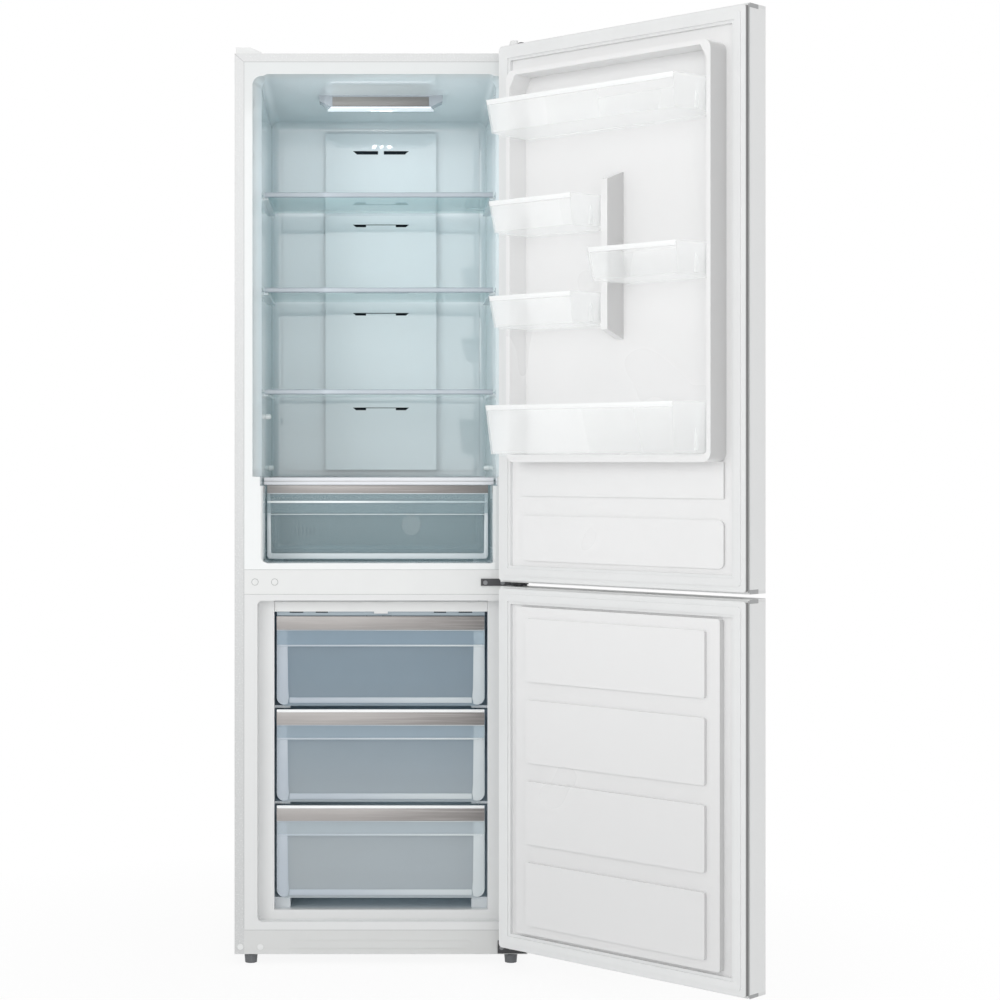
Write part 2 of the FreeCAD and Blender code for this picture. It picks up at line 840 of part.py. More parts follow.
def serpentine(start, reach, pitch, runs, along, up, radius):
    """A tube that runs to and fro, each run one pitch above the last."""
    edges = []
    at = point(*start)
    run = point(*along)
    rise = point(*up)
    for number in range(runs):
        direction = run if number % 2 == 0 else run * -1
        end = at + direction * reach
        edges.append(Part.LineSegment(at, end).toShape())
        at = end
        if number < runs - 1:
            middle = end + rise * (pitch / 2) + direction * (pitch / 2)
            following = end + rise * pitch
            edges.append(Part.Arc(end, middle, following).toShape())
            at = following
    spine = Part.Wire(edges)
    ring = Part.Wire(Part.makeCircle(radius, point(*start), run))
    return spine.makePipeShell([ring], True, False)


def evaporator():
    y = freezer_rear - 40
    low = step_top + 60
    reach = freezer_half - 48
    coil = serpentine((-reach, y, low), 2 * reach, 32, 7, (1, 0, 0), (0, 0, 1), 4)
    fins = []
    fin_count = 14
    for number in range(fin_count):
        x = (reach - 20) * (2 * number / (fin_count - 1) - 1)
        fins.append(box([x - 0.3, y - 22, low - 14], [x + 0.3, y + 22, low + 206]))
    side = reach + 8
    heater_route = [(-side, y, low - 4), (-side, y, low - 30), (side, y, low - 30), (side, y, low - 4)]
    heater = bent_tube(heater_route, 4, 12)
    return Part.makeCompound([join([coil] + fins), heater])


# Machine compartment

def compressor():
    x, y = 60.0, machine_front + 100
    low = body_bottom + 14
    dome = [
        (0, low + 6),
        (52, low + 6),
        (72, low + 24),
        (74, low + 60),
        (74, low + 92),
        (66, low + 122),
        (38, low + 142),
        (0, low + 148),
    ]
    outline = [point(x + r, y, z) for r, z in dome]
    curve = Part.BSplineCurve()
    curve.interpolate(outline[1:])
    edges = [
        Part.LineSegment(outline[0], outline[1]).toShape(),
        curve.toShape(),
        Part.LineSegment(outline[-1], outline[0]).toShape(),
    ]
    can = Part.Face(Part.Wire(edges)).revolve(point(x, y, 0), point(0, 0, 1), 360)
    plate = rounded_box([x - 88, y - 62, low], [x + 88, y + 62, low + 2.5], (0, 0, 1), 14)
    neck = cylinder(40, (x, y, low + 1), (0, 0, 1), 8)
    relay = box([x - 96, y - 22, low + 40], [x - 66, y + 22, low + 92])
    body = join([can, plate, neck, relay])
    mounts = []
    for side_x in (-1, 1):
        for side_y in (-1, 1):
            foot = (x + side_x * 74, y + side_y * 48, body_bottom + 1.2)
            mounts.append(cylinder(10, foot, (0, 0, 1), low - body_bottom - 1.2))
    return Part.makeCompound([body] + mounts)


def drip_tray():
    x, y = 60.0, machine_front + 100
    low = body_bottom + 14 + 148 + 1
    return tub([x - 90, y - 66, low], [x + 90, y + 66, low + 32], 14, 2.0)


def condenser():
    """Tube runs on the back, held by two straps, with the drier and the pipe to the compressor."""
    y = cabinet_depth + 9
    half = half_width - 60
    low = machine_top + 60
    runs = 2 * int((body_top - 180 - low) / condenser_pitch / 2)
    radius = condenser_pitch / 2
    coil = serpentine((-half, y, low), 2 * half, condenser_pitch, runs, (1, 0, 0), (0, 0, 1), condenser_tube)
    high = low + (runs - 1) * condenser_pitch
    straps = []
    for x in (-half + 60, half - 72):
        straps.append(box([x, y - 1, low - 12], [x + 12, y + 1, high + 12]))
        for z in (low - 12, high + 6):
            straps.append(box([x, cabinet_depth, z], [x + 12, y + 1, z + 6]))
    drop = [
        (-half, y, low),
        (-half - radius, y, low),
        (-half - radius, y, machine_top - 60),
        (-half - radius, y - 60, machine_top - 60),
    ]
    pipe = bent_tube(drop, condenser_tube, 12)
    drier = cylinder(9, (-half - radius, y - 60, machine_top - 60), (0, -1, 0), 70)
    return join([coil, pipe, drier] + straps)


def cord_gland():
    x, z = -half_width + 80, machine_top + 12
    ring = cylinder(11, (x, cabinet_depth, z), (0, 1, 0), 8)
    return ring.cut(cylinder(4, (x, cabinet_depth - 1, z), (0, 1, 0), 12))


# Hinges, covers and fasteners

def top_hinge():
    low = upper_door_top + 1
    base = box([pin_x - 30, 12, body_top], [pin_x + 12, 90, body_top + hinge_plate])
    arm = box([pin_x - 17, pin_y, low], [pin_x + 12, 20, low + hinge_plate])
    head = cylinder(hinge_head, (pin_x, pin_y, low), (0, 0, 1), hinge_plate)
    rivet = cylinder(8, (pin_x, pin_y, low), (0, 0, 1), 2 * hinge_plate)
    step = box([pin_x - 17, 12, body_top], [pin_x + 12, 20, low + hinge_plate])
    pin = cylinder(pin_radius, (pin_x, pin_y, upper_door_top - 18), (0, 0, 1), 20)
    return join([base, arm, head, rivet, step, pin])


def hinge_covers():
    """The cover over the top hinge, whose nose leaves the pin's head bare, and the plain one at the other corner."""
    low = upper_door_top + 1
    high = low + hinge_cover_height
    floor = low + hinge_plate + 0.4
    nose = rounded_box([pin_x - 19.5, pin_y - 16, low], [pin_x - 4.5, 16, high], (0, 0, 1), 5)
    wide = box([pin_x - hinge_cover_width, 10, body_top], [half_width - 1, 92, high - 3])
    outer = join([nose, wide])
    inner = join([
        box([pin_x - 31.5, 11.5, body_top - 1], [pin_x + 13, 90.5, floor]),
        box([pin_x - 18, pin_y - 14.5, body_top - 1], [pin_x + 13, 21, floor]),
        cylinder(9, (pin_x, pin_y, low), (0, 0, 1), hinge_cover_height + 1),
        box([pin_x - 28, 20, body_top - 1], [pin_x + 8, 84, high - 5]),
    ])
    blank = box([-half_width + 2, 5, body_top], [-half_width + 54, 80, body_top + 13])
    slope = prism(
        [(-half_width + 30, 0, body_top + 14), (-half_width + 60, 0, body_top + 14), (-half_width + 60, 0, body_top + 1)],
        (0, 90, 0),
    )
    return Part.makeCompound([outer.cut(inner), blank.cut(slope)])


def middle_hinge():
    centre = (upper_door_bottom + lower_door_top) / 2
    edge = half_width - 1
    washer_gap = 0.4
    stack = between_doors - 2 * washer_gap
    plate = box([pin_x - 76, -hinge_plate, centre - 7.5], [edge, 0, centre + 7])
    tab = box([pin_x - 17, pin_y, centre - hinge_plate / 2], [edge, 0, centre + hinge_plate / 2])
    head = cylinder(edge - pin_x, (pin_x, pin_y, centre - hinge_plate / 2), (0, 0, 1), hinge_plate)
    washers = cylinder(8, (pin_x, pin_y, centre - stack / 2), (0, 0, 1), stack)
    pin = cylinder(pin_radius, (pin_x, pin_y, centre - 16), (0, 0, 1), 32)
    return join([plate, tab, head, washers, pin])


def bottom_hinge():
    top = lower_door_bottom - 1
    plate = box([pin_x - 42, -hinge_plate, body_bottom + 2], [pin_x + 16, 0, top])
    tab = box([pin_x - 30, pin_y, top - hinge_plate], [pin_x + 14, 0, top])
    head = cylinder(hinge_head, (pin_x, pin_y, top - hinge_plate), (0, 0, 1), hinge_plate)
    web = prism(
        [(pin_x + 8, 0, top), (pin_x + 8, pin_y + 6, top), (pin_x + 8, 0, body_bottom + 4)], (hinge_plate, 0, 0)
    )
    pin = cylinder(pin_radius, (pin_x, pin_y, top - 1), (0, 0, 1), 18)
    return join([plate, tab, head, web, pin])


def hinge_screws():
    centre = (upper_door_bottom + lower_door_top) / 2 - 1
    screws = []
    for x in (pin_x - 67, pin_x - 32):
        screws.append(cylinder(screw_head, (x, -hinge_plate, centre), (0, -1, 0), screw_head / 2))
    for x in (pin_x - 34, pin_x - 16):
        screws.append(cylinder(screw_head, (x, -hinge_plate, body_bottom + 14), (0, -1, 0), screw_head / 2))
    for y in (38, 68):
        screws.append(cylinder(screw_head, (pin_x - 16, y, body_top + hinge_plate), (0, 0, 1), 2.2))
    return Part.makeCompound(screws)


def screw_caps():
    mullion_middle = (freezer_front_top + mullion_top) / 2
    caps = []
    for x, z in (
        (-front_half + 22, mullion_middle),
        (-front_half + 62, mullion_middle),
        (-front_half + 33, body_bottom + 15),
    ):
        caps.append(cylinder(6, (x, 0, z), (0, -1, 0), 1.6))
    caps.append(cylinder(6, (-half_width + 12, 0, body_bottom + 15), (0, -1, 0), 1.6))
    return Part.makeCompound(caps)


# Feet and rollers

def foot(side):
    x = side * (half_width - foot_from_side)
    pad = Part.makeCone(foot_radius - 1.5, foot_radius, foot_pad_height, point(x, foot_y, 0))
    stud = cylinder(stud_radius, (x, foot_y, foot_pad_height - 1), (0, 0, 1), 28)
    return pad.fuse(stud).removeSplitter()


def roller(side):
    roller_x, roller_y = roller_place()
    start = side * roller_x - roller_width / 2
    wheel = cylinder(roller_radius, (start, roller_y, roller_radius), (1, 0, 0), roller_width)
    wheel = wheel.makeFillet(1.5, [e for e in wheel.Edges if e.Curve.TypeId == "Part::GeomCircle"])
    return wheel.cut(cylinder(axle_radius + pin_fit, (start - 1, roller_y, roller_radius), (1, 0, 0), roller_width + 2))


# Doors

def grip_span(bottom, top, upper):
    if upper:
        return bottom + grip_from_door_end, bottom + grip_from_door_end + grip_length
    return top - grip_from_door_end - grip_length, top - grip_from_door_end


def grip_pocket(low, high, shrink):
    x = -half_width + grip_lip + shrink
    return box(
        [x, door_outer_y - 1, low + shrink],
        [x + grip_width - 2 * shrink, door_outer_y + grip_depth - shrink, high - shrink],
    )


def door_panel(bottom, top, grip_range):
    outer = box([-half_width, door_outer_y, bottom + end_cap_height],
                [half_width, door_inner_y - liner_wall, top - end_cap_height])
    outer = outer.makeFillet(5, edges_along(outer, (0, 0, 1), lambda m: m.y < door_outer_y + 1))
    inner = box([-half_width + steel_sheet, door_outer_y + steel_sheet, bottom],
                [half_width - steel_sheet, door_inner_y + 5, top])
    inner = inner.makeFillet(5 - steel_sheet, edges_along(inner, (0, 0, 1), lambda m: m.y < door_outer_y + 1))
    return outer.cut(inner).cut(grip_pocket(grip_range[0], grip_range[1], 0))


def door_foam(bottom, top, grip_range):
    """Foam in touching slabs, which leave the pocket of the grip open."""
    low = bottom + end_cap_height
    high = top - end_cap_height
    skin = half_width - steel_sheet
    front = door_outer_y + steel_sheet
    back = door_inner_y - liner_wall
    edge = -half_width + grip_lip + grip_width
    behind = door_outer_y + grip_depth
    main = box([edge, front, low], [skin, back, high])
    main = main.makeFillet(5, edges_along(main, (0, 0, 1), lambda m: m.y < front + 1 and m.x > 0))
    slabs = [
        main,
        box([-skin, behind, low], [edge, back, high]),
    ]
    for start, end in ((low, grip_range[0]), (grip_range[1], high)):
        slab = box([-skin, front, start], [edge, behind, end])
        slabs.append(slab.makeFillet(5, edges_along(slab, (0, 0, 1), lambda m: m.y < front + 1 and m.x < edge - 1)))
    return slabs


def door_grip(grip_range):
    low, high = grip_range
    cup = grip_pocket(low, high, 0.2).cut(grip_pocket(low, high, 0.2 + grip_wall))
    return cup.common(box([-half_width, door_outer_y, low], [half_width, 0, high]))


def door_caps(bottom, top):
    """End caps with bushes for the hinge pins, and grey plugs for the unused bushes."""
    caps = []
    for level, inward in ((bottom, 1), (top, -1)):
        low, high = sorted((level, level + inward * end_cap_height))
        plate = box([-half_width, door_outer_y, low], [half_width, door_inner_y - liner_wall, high])
        plate = plate.makeFillet(5, edges_along(plate, (0, 0, 1), lambda m: m.y < door_outer_y + 1))
        bush_low, bush_high = sorted((level, level + inward * 22))
        for x in (-pin_x, pin_x):
            plate = plate.fuse(cylinder(bush_radius, (x, pin_y, bush_low), (0, 0, 1), bush_high - bush_low))
            plate = plate.cut(cylinder(pin_radius + pin_fit, (x, pin_y, bush_low - 1), (0, 0, 1), bush_high - bush_low + 2))
        caps.append(plate.removeSplitter())
    return caps


def bush_room(level, inward):
    low, high = sorted((level - inward, level + inward * 22.5))
    radius = bush_radius + bush_room_gap
    rooms = [cylinder(radius, (x, pin_y, low), (0, 0, 1), high - low) for x in (-pin_x, pin_x)]
    return rooms


def ridge_outline(inset, start, end):
    shape = box([ridge_left + inset, start, ridge_bottom + inset], [ridge_right - inset, end, ridge_top - inset])
    return shape.makeFillet(ridge_radius - inset, edges_along(shape, (0, 1, 0)))


def ridge_opening(grow, start, end):
    """The space inside the raised frame, with its corners cut off."""
    left = ridge_inner_left - grow
    right = ridge_inner_right + grow
    low = ridge_bottom + ridge_bottom_wall - grow
    high = ridge_top - ridge_wall + grow
    across = ridge_chamfer_across
    up = ridge_chamfer_up
    corners = [
        (left, start, low),
        (right, start, low),
        (right, start, high - up),
        (right - across, start, high),
        (left + across, start, high),
        (left, start, high - up),
    ]
    shape = prism(corners, (0, end - start, 0))
    return shape.makeFillet(9, edges_along(shape, (0, 1, 0), lambda m: m.z < low + 1))


def rib_shape(inset, start, end):
    """The middle rib, whose ends slope back to the door."""
    low, high = rib_span()
    foot_low = low - rib_slope / 2 + inset
    foot_high = high + rib_slope / 2 - inset
    corners = [
        (rib_x - rib_width / 2 + inset, start, foot_low),
        (rib_x - rib_width / 2 + inset, end, foot_low + rib_slope),
        (rib_x - rib_width / 2 + inset, end, foot_high - rib_slope),
        (rib_x - rib_width / 2 + inset, start, foot_high),
    ]
    return prism(corners, (rib_width - 2 * inset, 0, 0))


def ridge_cores():
    """Foam inside the raised frame and the middle rib of the upper door."""
    inset = ridge_skin
    start = door_inner_y - liner_wall
    end = door_inner_y + ridge_height - inset
    ring = ridge_outline(inset, start, end).cut(ridge_opening(inset, start - 1, end + 1))
    far = 1000.0
    middle_z = (ridge_bottom + ridge_top) / 2
    quarters = []
    for side_x in (-1, 1):
        for side_z in (-1, 1):
            low_x, high_x = sorted((rib_x, rib_x + side_x * far))
            low_z, high_z = sorted((middle_z, middle_z + side_z * far))
            quarters.append(ring.common(box([low_x, start - 1, low_z], [high_x, end + 1, high_z])))
    return quarters + [rib_shape(inset, start, end)]


def rib_span():
    return bins_low + 0.252 * bins_clear, bins_low + 0.825 * bins_clear


def small_bin_floors():
    """Floor heights of the left upper, right and left lower bins."""
    return (
        bins_low + 0.636 * bins_clear,
        bins_low + 0.435 * bins_clear,
        bins_low + 0.287 * bins_clear,
    )


def bin_lugs():
    """Lugs on the ridge and the rib that the bins hang on: side that faces, wall and bin floor."""
    upper, right, lower = small_bin_floors()
    rib_low = rib_x - rib_width / 2
    rib_high = rib_x + rib_width / 2
    places = []
    for floor, height in ((top_bin_floor, top_bin_height), (bottom_bin_floor, bottom_bin_height)):
        places.append((1, ridge_inner_left, floor, height))
        places.append((-1, ridge_inner_right, floor, height))
    for floor in (upper, lower):
        places.append((1, rib_high, floor, small_bin_height))
        places.append((-1, ridge_inner_right, floor, small_bin_height))
    places.append((1, ridge_inner_left, right, small_bin_height))
    places.append((-1, rib_low, right, small_bin_height))
    return places


def lug_box(facing, wall, floor, height, room):
    low_x, high_x = sorted((wall - facing * 0.5, wall + facing * (lug_reach + room)))
    y = door_inner_y + 16
    top = floor + height - 16
    return box([low_x, y - room, top - lug_size], [high_x, y + lug_size + room, top + room])


def upper_door_liner():
    base = box([-half_width + steel_sheet, door_inner_y - liner_wall, upper_door_bottom + end_cap_height],
               [half_width - steel_sheet, door_inner_y, upper_door_top - end_cap_height])
    end = door_inner_y + ridge_height
    outer = ridge_outline(0, door_inner_y - 1, end)
    inner = ridge_opening(0, door_inner_y, end + 1)
    rib = rib_shape(0, door_inner_y - 1, end)
    panel_b_low = fridge_floor + 11
    panel_b_high = fridge_floor + 100
    panel_a_low = panel_b_high + 39
    raised = [
        box([ridge_left + 3, door_inner_y - 1, panel_a_low], [ridge_right - 3, door_inner_y + embossing, ridge_bottom + 1]),
        rounded_box([ridge_left + 3, door_inner_y - 1, panel_b_low],
                    [ridge_right - 3, door_inner_y + embossing, panel_b_high], (0, 1, 0), 12),
    ]
    lugs = [lug_box(facing, wall, floor, height, 0) for facing, wall, floor, height in bin_lugs()]
    solid = join([base, outer.cut(inner), rib] + raised + lugs)
    return solid.cut(Part.makeCompound(ridge_cores()))


def frame_core():
    """Foam inside the raised frame of the lower door."""
    inset = ridge_skin
    return box([-frame_half + inset, door_inner_y - liner_wall, frame_low + inset],
               [frame_half - inset, door_inner_y + frame_rise - inset, frame_high - inset])


def lower_door_liner():
    base = box([-half_width + steel_sheet, door_inner_y - liner_wall, lower_door_bottom + end_cap_height],
               [half_width - steel_sheet, door_inner_y, lower_door_top - end_cap_height])
    panel_half = frame_half - 29
    panel_rise = 7.0
    frame = rounded_box([-frame_half, door_inner_y - 1, frame_low],
                        [frame_half, door_inner_y + frame_rise, frame_high], (0, 1, 0), 6)
    panels = []
    band = 36.0
    count = 4
    panel_low = frame_low + 19
    panel_high = frame_high - 22
    pitch = (panel_high - panel_low + band) / count
    for number in range(count):
        z = panel_low + number * pitch
        panels.append(
            rounded_box([-panel_half, door_inner_y + frame_rise - 1, z],
                        [panel_half, door_inner_y + frame_rise + panel_rise, z + pitch - band], (0, 1, 0), 5)
        )
    return join([base, frame] + panels).cut(frame_core())


def gasket(bottom, top):
    """A base, a lip that overhangs it and the magnet's bulb."""
    base_width = gasket_inset + gasket_width - gasket_base_inset
    rings = []
    for inset, width, start, end in (
        (gasket_base_inset, base_width, 0, gasket_base_height),
        (gasket_inset, gasket_width, gasket_base_height - 0.5, gasket_lip_height),
        (gasket_bulb_inset, gasket_bulb_width, gasket_lip_height - 0.5, gasket_height),
    ):
        outer = rounded_box([-half_width + inset, door_inner_y + start, bottom + inset],
                            [half_width - inset, door_inner_y + end, top - inset], (0, 1, 0), 6)
        far = inset + width
        inner = box([-half_width + far, door_inner_y - 1, bottom + far], [half_width - far, door_inner_y + 20, top - far])
        rings.append(outer.cut(inner))
    return join(rings)


def bin_hull(left, right, floor, height, reach, inset, floor_lift):
    """A tapered tray body: narrower and shallower at its floor."""
    back = door_inner_y + 1 + inset
    shoulder = door_inner_y + ridge_height
    levels = []
    for z, shrink in ((floor + floor_lift, 4.0), (floor + height + (1 if inset else 0), 0.0)):
        front = door_inner_y + reach - inset - shrink * bin_floor_draft / 4.0
        low_x = left + inset + shrink
        high_x = right - inset - shrink
        taper = bin_front_taper
        corners = [
            (low_x, back, z),
            (high_x, back, z),
            (high_x, shoulder, z),
            (high_x - taper, front, z),
            (low_x + taper, front, z),
            (low_x, shoulder, z),
        ]
        levels.append(Part.makePolygon([point(*c) for c in corners] + [point(*corners[0])]))
    return Part.makeLoft(levels, True, True)


def door_bin(left, right, floor, height, reach):
    left = left + bin_end_gap
    right = right - bin_end_gap
    outer = bin_hull(left, right, floor, height, reach, 0, 0)
    inner = bin_hull(left, right, floor, height, reach, bin_wall, bin_wall)
    y = door_inner_y + 16
    bosses = []
    channels = []
    for facing, wall in ((1, left - bin_end_gap), (-1, right + bin_end_gap)):
        reach_x = lug_reach + 0.5 + bin_wall
        low_x, high_x = sorted((wall + facing * (bin_end_gap + 0.5), wall + facing * reach_x))
        bosses.append(box([low_x, y - 4, floor + 1], [high_x, y + lug_size + 4, floor + height - 8]))
        low_x, high_x = sorted((wall - facing, wall + facing * (lug_reach + 0.5)))
        channels.append(
            box([low_x, y - 0.5, floor - 1], [high_x, y + lug_size + 0.5, floor + height - 16 + rest_gap])
        )
    tray = outer.cut(inner)
    bosses = Part.makeCompound([b.common(outer) for b in bosses])
    return tray.fuse(bosses).cut(Part.makeCompound(channels)).removeSplitter()


def whole(shape):
    """The solid itself, out of a compound that holds only one."""
    solids = shape.Solids
    if len(solids) == 1:
        return solids[0]
    return Part.makeCompound(solids)


def build():
    nodes = {
        "outer_shell": outer_shell(),
        "back_panel": back_panel(),
        "base_pan": base_pan(),
        "insulation": insulation(),
        "fridge_liner": fridge_liner(),
        "freezer_liner": freezer_liner(),
        "mullion_rail": mullion_rail(),
        "kick_panel": kick_panel(),
        "duct_cover": duct_cover(),
        "lamp_housing": lamp_housing(),
        "lamp_lens": lamp_lens(),
        "freezer_top_panel": freezer_top_panel(),
        "evaporator_cover": evaporator_cover(),
        "evaporator": evaporator(),
        "fan_motor": fan_motor(),
        "fan_blade": fan_blade(),
        "compressor": compressor(),
        "drip_tray": drip_tray(),
        "condenser": condenser(),
        "cord_gland": cord_gland(),
        "top_hinge": top_hinge(),
        "middle_hinge": middle_hinge(),
        "bottom_hinge": bottom_hinge(),
        "hinge_covers": hinge_covers(),
        "hinge_screws": hinge_screws(),
        "screw_caps": screw_caps(),
        "foot_left": foot(-1),
        "foot_right": foot(1),
        "roller_left": roller(-1),
        "roller_right": roller(1),
        "crisper_cover_glass": cover_glass(),
        "crisper_cover_trim": cover_trim(),
        "crisper_drawer": crisper_drawer(),
    }
    for level, top in shelf_tops.items():
        nodes[f"shelf_{level}_glass"] = shelf_glass(top)
        nodes[f"shelf_{level}_trim"] = shelf_trim(top)
    for level in drawer_bottoms:
        nodes[f"freezer_drawer_{level}"] = freezer_drawer(level)

    for name, bottom, top in (
        ("upper_door", upper_door_bottom, upper_door_top),
        ("lower_door", lower_door_bottom, lower_door_top),
    ):
        upper = name == "upper_door"
        grip_range = grip_span(bottom, top, upper)
        rooms = Part.makeCompound(bush_room(bottom, 1) + bush_room(top, -1))
        foam = [slab.cut(rooms) for slab in door_foam(bottom, top, grip_range)]
        if upper:
            foam = foam + ridge_cores()
            liner = upper_door_liner()
        else:
            foam.append(frame_core())
            liner = lower_door_liner()
        nodes[f"{name}_panel"] = opened(door_panel(bottom, top, grip_range))
        nodes[f"{name}_insulation"] = opened(Part.makeCompound(foam))
        nodes[f"{name}_liner"] = opened(liner)
        nodes[f"{name}_gasket"] = opened(gasket(bottom, top))
        nodes[f"{name}_end_caps"] = opened(Part.makeCompound(door_caps(bottom, top)))
        nodes[f"{name}_grip"] = opened(door_grip(grip_range))

    upper_floor, right_floor, lower_floor = small_bin_floors()
    rib_low = rib_x - rib_width / 2
    rib_high = rib_x + rib_width / 2
    bins = {
        "bin_top": (ridge_inner_left, ridge_inner_right, top_bin_floor, top_bin_height, top_bin_reach),
        "bin_bottom": (ridge_inner_left, ridge_inner_right, bottom_bin_floor, bottom_bin_height, bottom_bin_reach),
        "bin_hinge_side_upper": (rib_high, ridge_inner_right, upper_floor, small_bin_height, bin_reach),
        "bin_hinge_side_lower": (rib_high, ridge_inner_right, lower_floor, small_bin_height, bin_reach),
        "bin_handle_side": (ridge_inner_left, rib_low, right_floor, small_bin_height, bin_reach),
    }
    for name, sizes in bins.items():
        nodes[name] = opened(door_bin(*sizes))
    return nodes


os.makedirs("parts", exist_ok=True)
for name, shape in build().items():
    shape = whole(shape)
    shape.exportStep(f"parts/{name}.step")
    print(f"{name}: {len(shape.Solids)} solids, valid {shape.isValid()}, {shape.Volume / 1000:.1f} cm3")
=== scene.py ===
import json
import math
import bmesh
import bpy
from mathutils import Matrix, Vector

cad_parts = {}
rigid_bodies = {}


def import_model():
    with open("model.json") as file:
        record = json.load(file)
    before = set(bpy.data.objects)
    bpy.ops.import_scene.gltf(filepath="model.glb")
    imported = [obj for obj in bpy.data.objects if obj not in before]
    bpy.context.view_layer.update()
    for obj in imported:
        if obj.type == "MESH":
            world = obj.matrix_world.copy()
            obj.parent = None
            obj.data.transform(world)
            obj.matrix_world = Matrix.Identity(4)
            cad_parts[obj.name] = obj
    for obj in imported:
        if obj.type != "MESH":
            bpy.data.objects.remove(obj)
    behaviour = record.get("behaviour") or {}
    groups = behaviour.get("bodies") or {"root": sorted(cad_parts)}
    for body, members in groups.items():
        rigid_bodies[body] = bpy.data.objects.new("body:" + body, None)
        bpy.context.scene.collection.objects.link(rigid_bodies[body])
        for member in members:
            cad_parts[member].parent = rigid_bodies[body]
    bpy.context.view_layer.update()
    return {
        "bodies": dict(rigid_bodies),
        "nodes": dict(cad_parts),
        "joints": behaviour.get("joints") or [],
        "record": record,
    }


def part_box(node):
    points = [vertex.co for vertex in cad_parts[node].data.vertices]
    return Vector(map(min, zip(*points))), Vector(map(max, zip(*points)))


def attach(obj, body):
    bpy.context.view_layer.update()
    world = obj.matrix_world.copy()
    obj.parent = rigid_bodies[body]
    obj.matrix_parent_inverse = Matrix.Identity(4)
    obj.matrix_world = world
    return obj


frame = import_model()
nodes = frame["nodes"]
print("frame loaded,", len(nodes), "CAD nodes")

mm = 0.001
world = {"background": "#FFFFFF", "fill": 0.60, "floor": "#FFFFFF", "floorGlow": 0.9, "glowNear": 0.4,
         "glowFar": 1.3, "floorReach": 30.0}
doorTurn = {"angle": 136.0, "pinX": 279.0, "pinY": -50.0}  # how far the doors stand open, and their hinge line in mm


# colours and nodes

def linear(hexColour):
    values = [int(hexColour[i:i + 2], 16) / 255 for i in (1, 3, 5)]
    return tuple(v / 12.92 if v <= 0.04045 else ((v + 0.055) / 1.055) ** 2.4 for v in values) + (1.0,)


def addNode(tree, kind, settings=None, links=None):
    node = tree.nodes.new(kind)
    for key, value in (settings or {}).items():
        if isinstance(key, int) or key in node.inputs:
            node.inputs[key].default_value = value
        else:
            setattr(node, key, value)
    for key, socket in (links or {}).items():
        tree.links.new(socket, node.inputs[key])
    return node


def newMaterial(name):
    material = bpy.data.materials.new(name)
    material.use_nodes = True
    material.node_tree.nodes.clear()
    return material, material.node_tree


def finishMaterial(tree, shader):
    addNode(tree, "ShaderNodeOutputMaterial", links={"Surface": shader.outputs[0]})


def grainHeight(tree, position, sizeMm, detail=3.0, stretch=(1.0, 1.0, 1.0)):
    # a noise whose lumps are about sizeMm wide
    placed = addNode(tree, "ShaderNodeMapping", {"Scale": stretch}, {"Vector": position})
    return addNode(tree, "ShaderNodeTexNoise", {"Scale": 1.0 / (sizeMm * mm), "Detail": detail, "Roughness": 0.55},
                   {"Vector": placed.outputs["Vector"]})


def colourAlong(tree, position, colour, look):
    # a moulding or foil whose colour changes slowly along one axis of the object, as its sheet was made
    along = look["along"]
    parts = addNode(tree, "ShaderNodeSeparateXYZ", links={0: position})
    share = addNode(tree, "ShaderNodeMapRange",
                    {1: along["from"] * mm, 2: along["to"] * mm, 3: 0.0, 4: 1.0, "interpolation_type": "SMOOTHSTEP"},
                    {"Value": parts.outputs[along["axis"]]})
    mixed = addNode(tree, "ShaderNodeMix", {"data_type": "RGBA", 7: linear(along["colour"])},
                    {0: share.outputs[0], 6: colour})
    return mixed.outputs[2]


# where the painted shade lies on the door sheet's flanks, in metres with the door shut, and from which slope on
shadedFlankRange = {"innerX": 0.15, "outerX": 0.1, "shallow": 0.35, "steep": 0.95}


def paintShadeOnFlanks(tree, colour, look):
    # painted shade: the steep outer flanks, which turn away from the lamps, are painted grey
    facing = addNode(tree, "ShaderNodeTexCoord")
    turn = math.radians(doorTurn["angle"])
    slope = addNode(tree, "ShaderNodeVectorMath",
                    {"operation": "DOT_PRODUCT", 1: (-math.cos(turn), -math.sin(turn), 0.0)},
                    {0: facing.outputs["Normal"]})
    pin = (doorTurn["pinX"] * mm, doorTurn["pinY"] * mm, 0.0)
    shut = addNode(tree, "ShaderNodeVectorRotate", {"rotation_type": "Z_AXIS", "Center": pin, "Angle": -turn},
                   {"Vector": facing.outputs["Object"]})
    parts = addNode(tree, "ShaderNodeSeparateXYZ", links={0: shut.outputs[0]})
    outer = addNode(tree, "ShaderNodeMapRange",
                    {1: shadedFlankRange["innerX"], 2: shadedFlankRange["outerX"], 3: 0.0, 4: look["flankShadeShare"]},
                    {"Value": parts.outputs[0]})
    steep = addNode(tree, "ShaderNodeMapRange",
                    {1: shadedFlankRange["shallow"], 2: shadedFlankRange["steep"], 3: 0.0, 4: 1.0,
                     "interpolation_type": "SMOOTHSTEP"},
                    {"Value": slope.outputs["Value"]})
    share = addNode(tree, "ShaderNodeMath", {"operation": "MULTIPLY"}, {0: outer.outputs[0], 1: steep.outputs[0]})
    mixed = addNode(tree, "ShaderNodeMix", {"data_type": "RGBA", 7: linear(look["flankShade"])},
                    {0: share.outputs[0], 6: colour})
    return mixed.outputs[2]


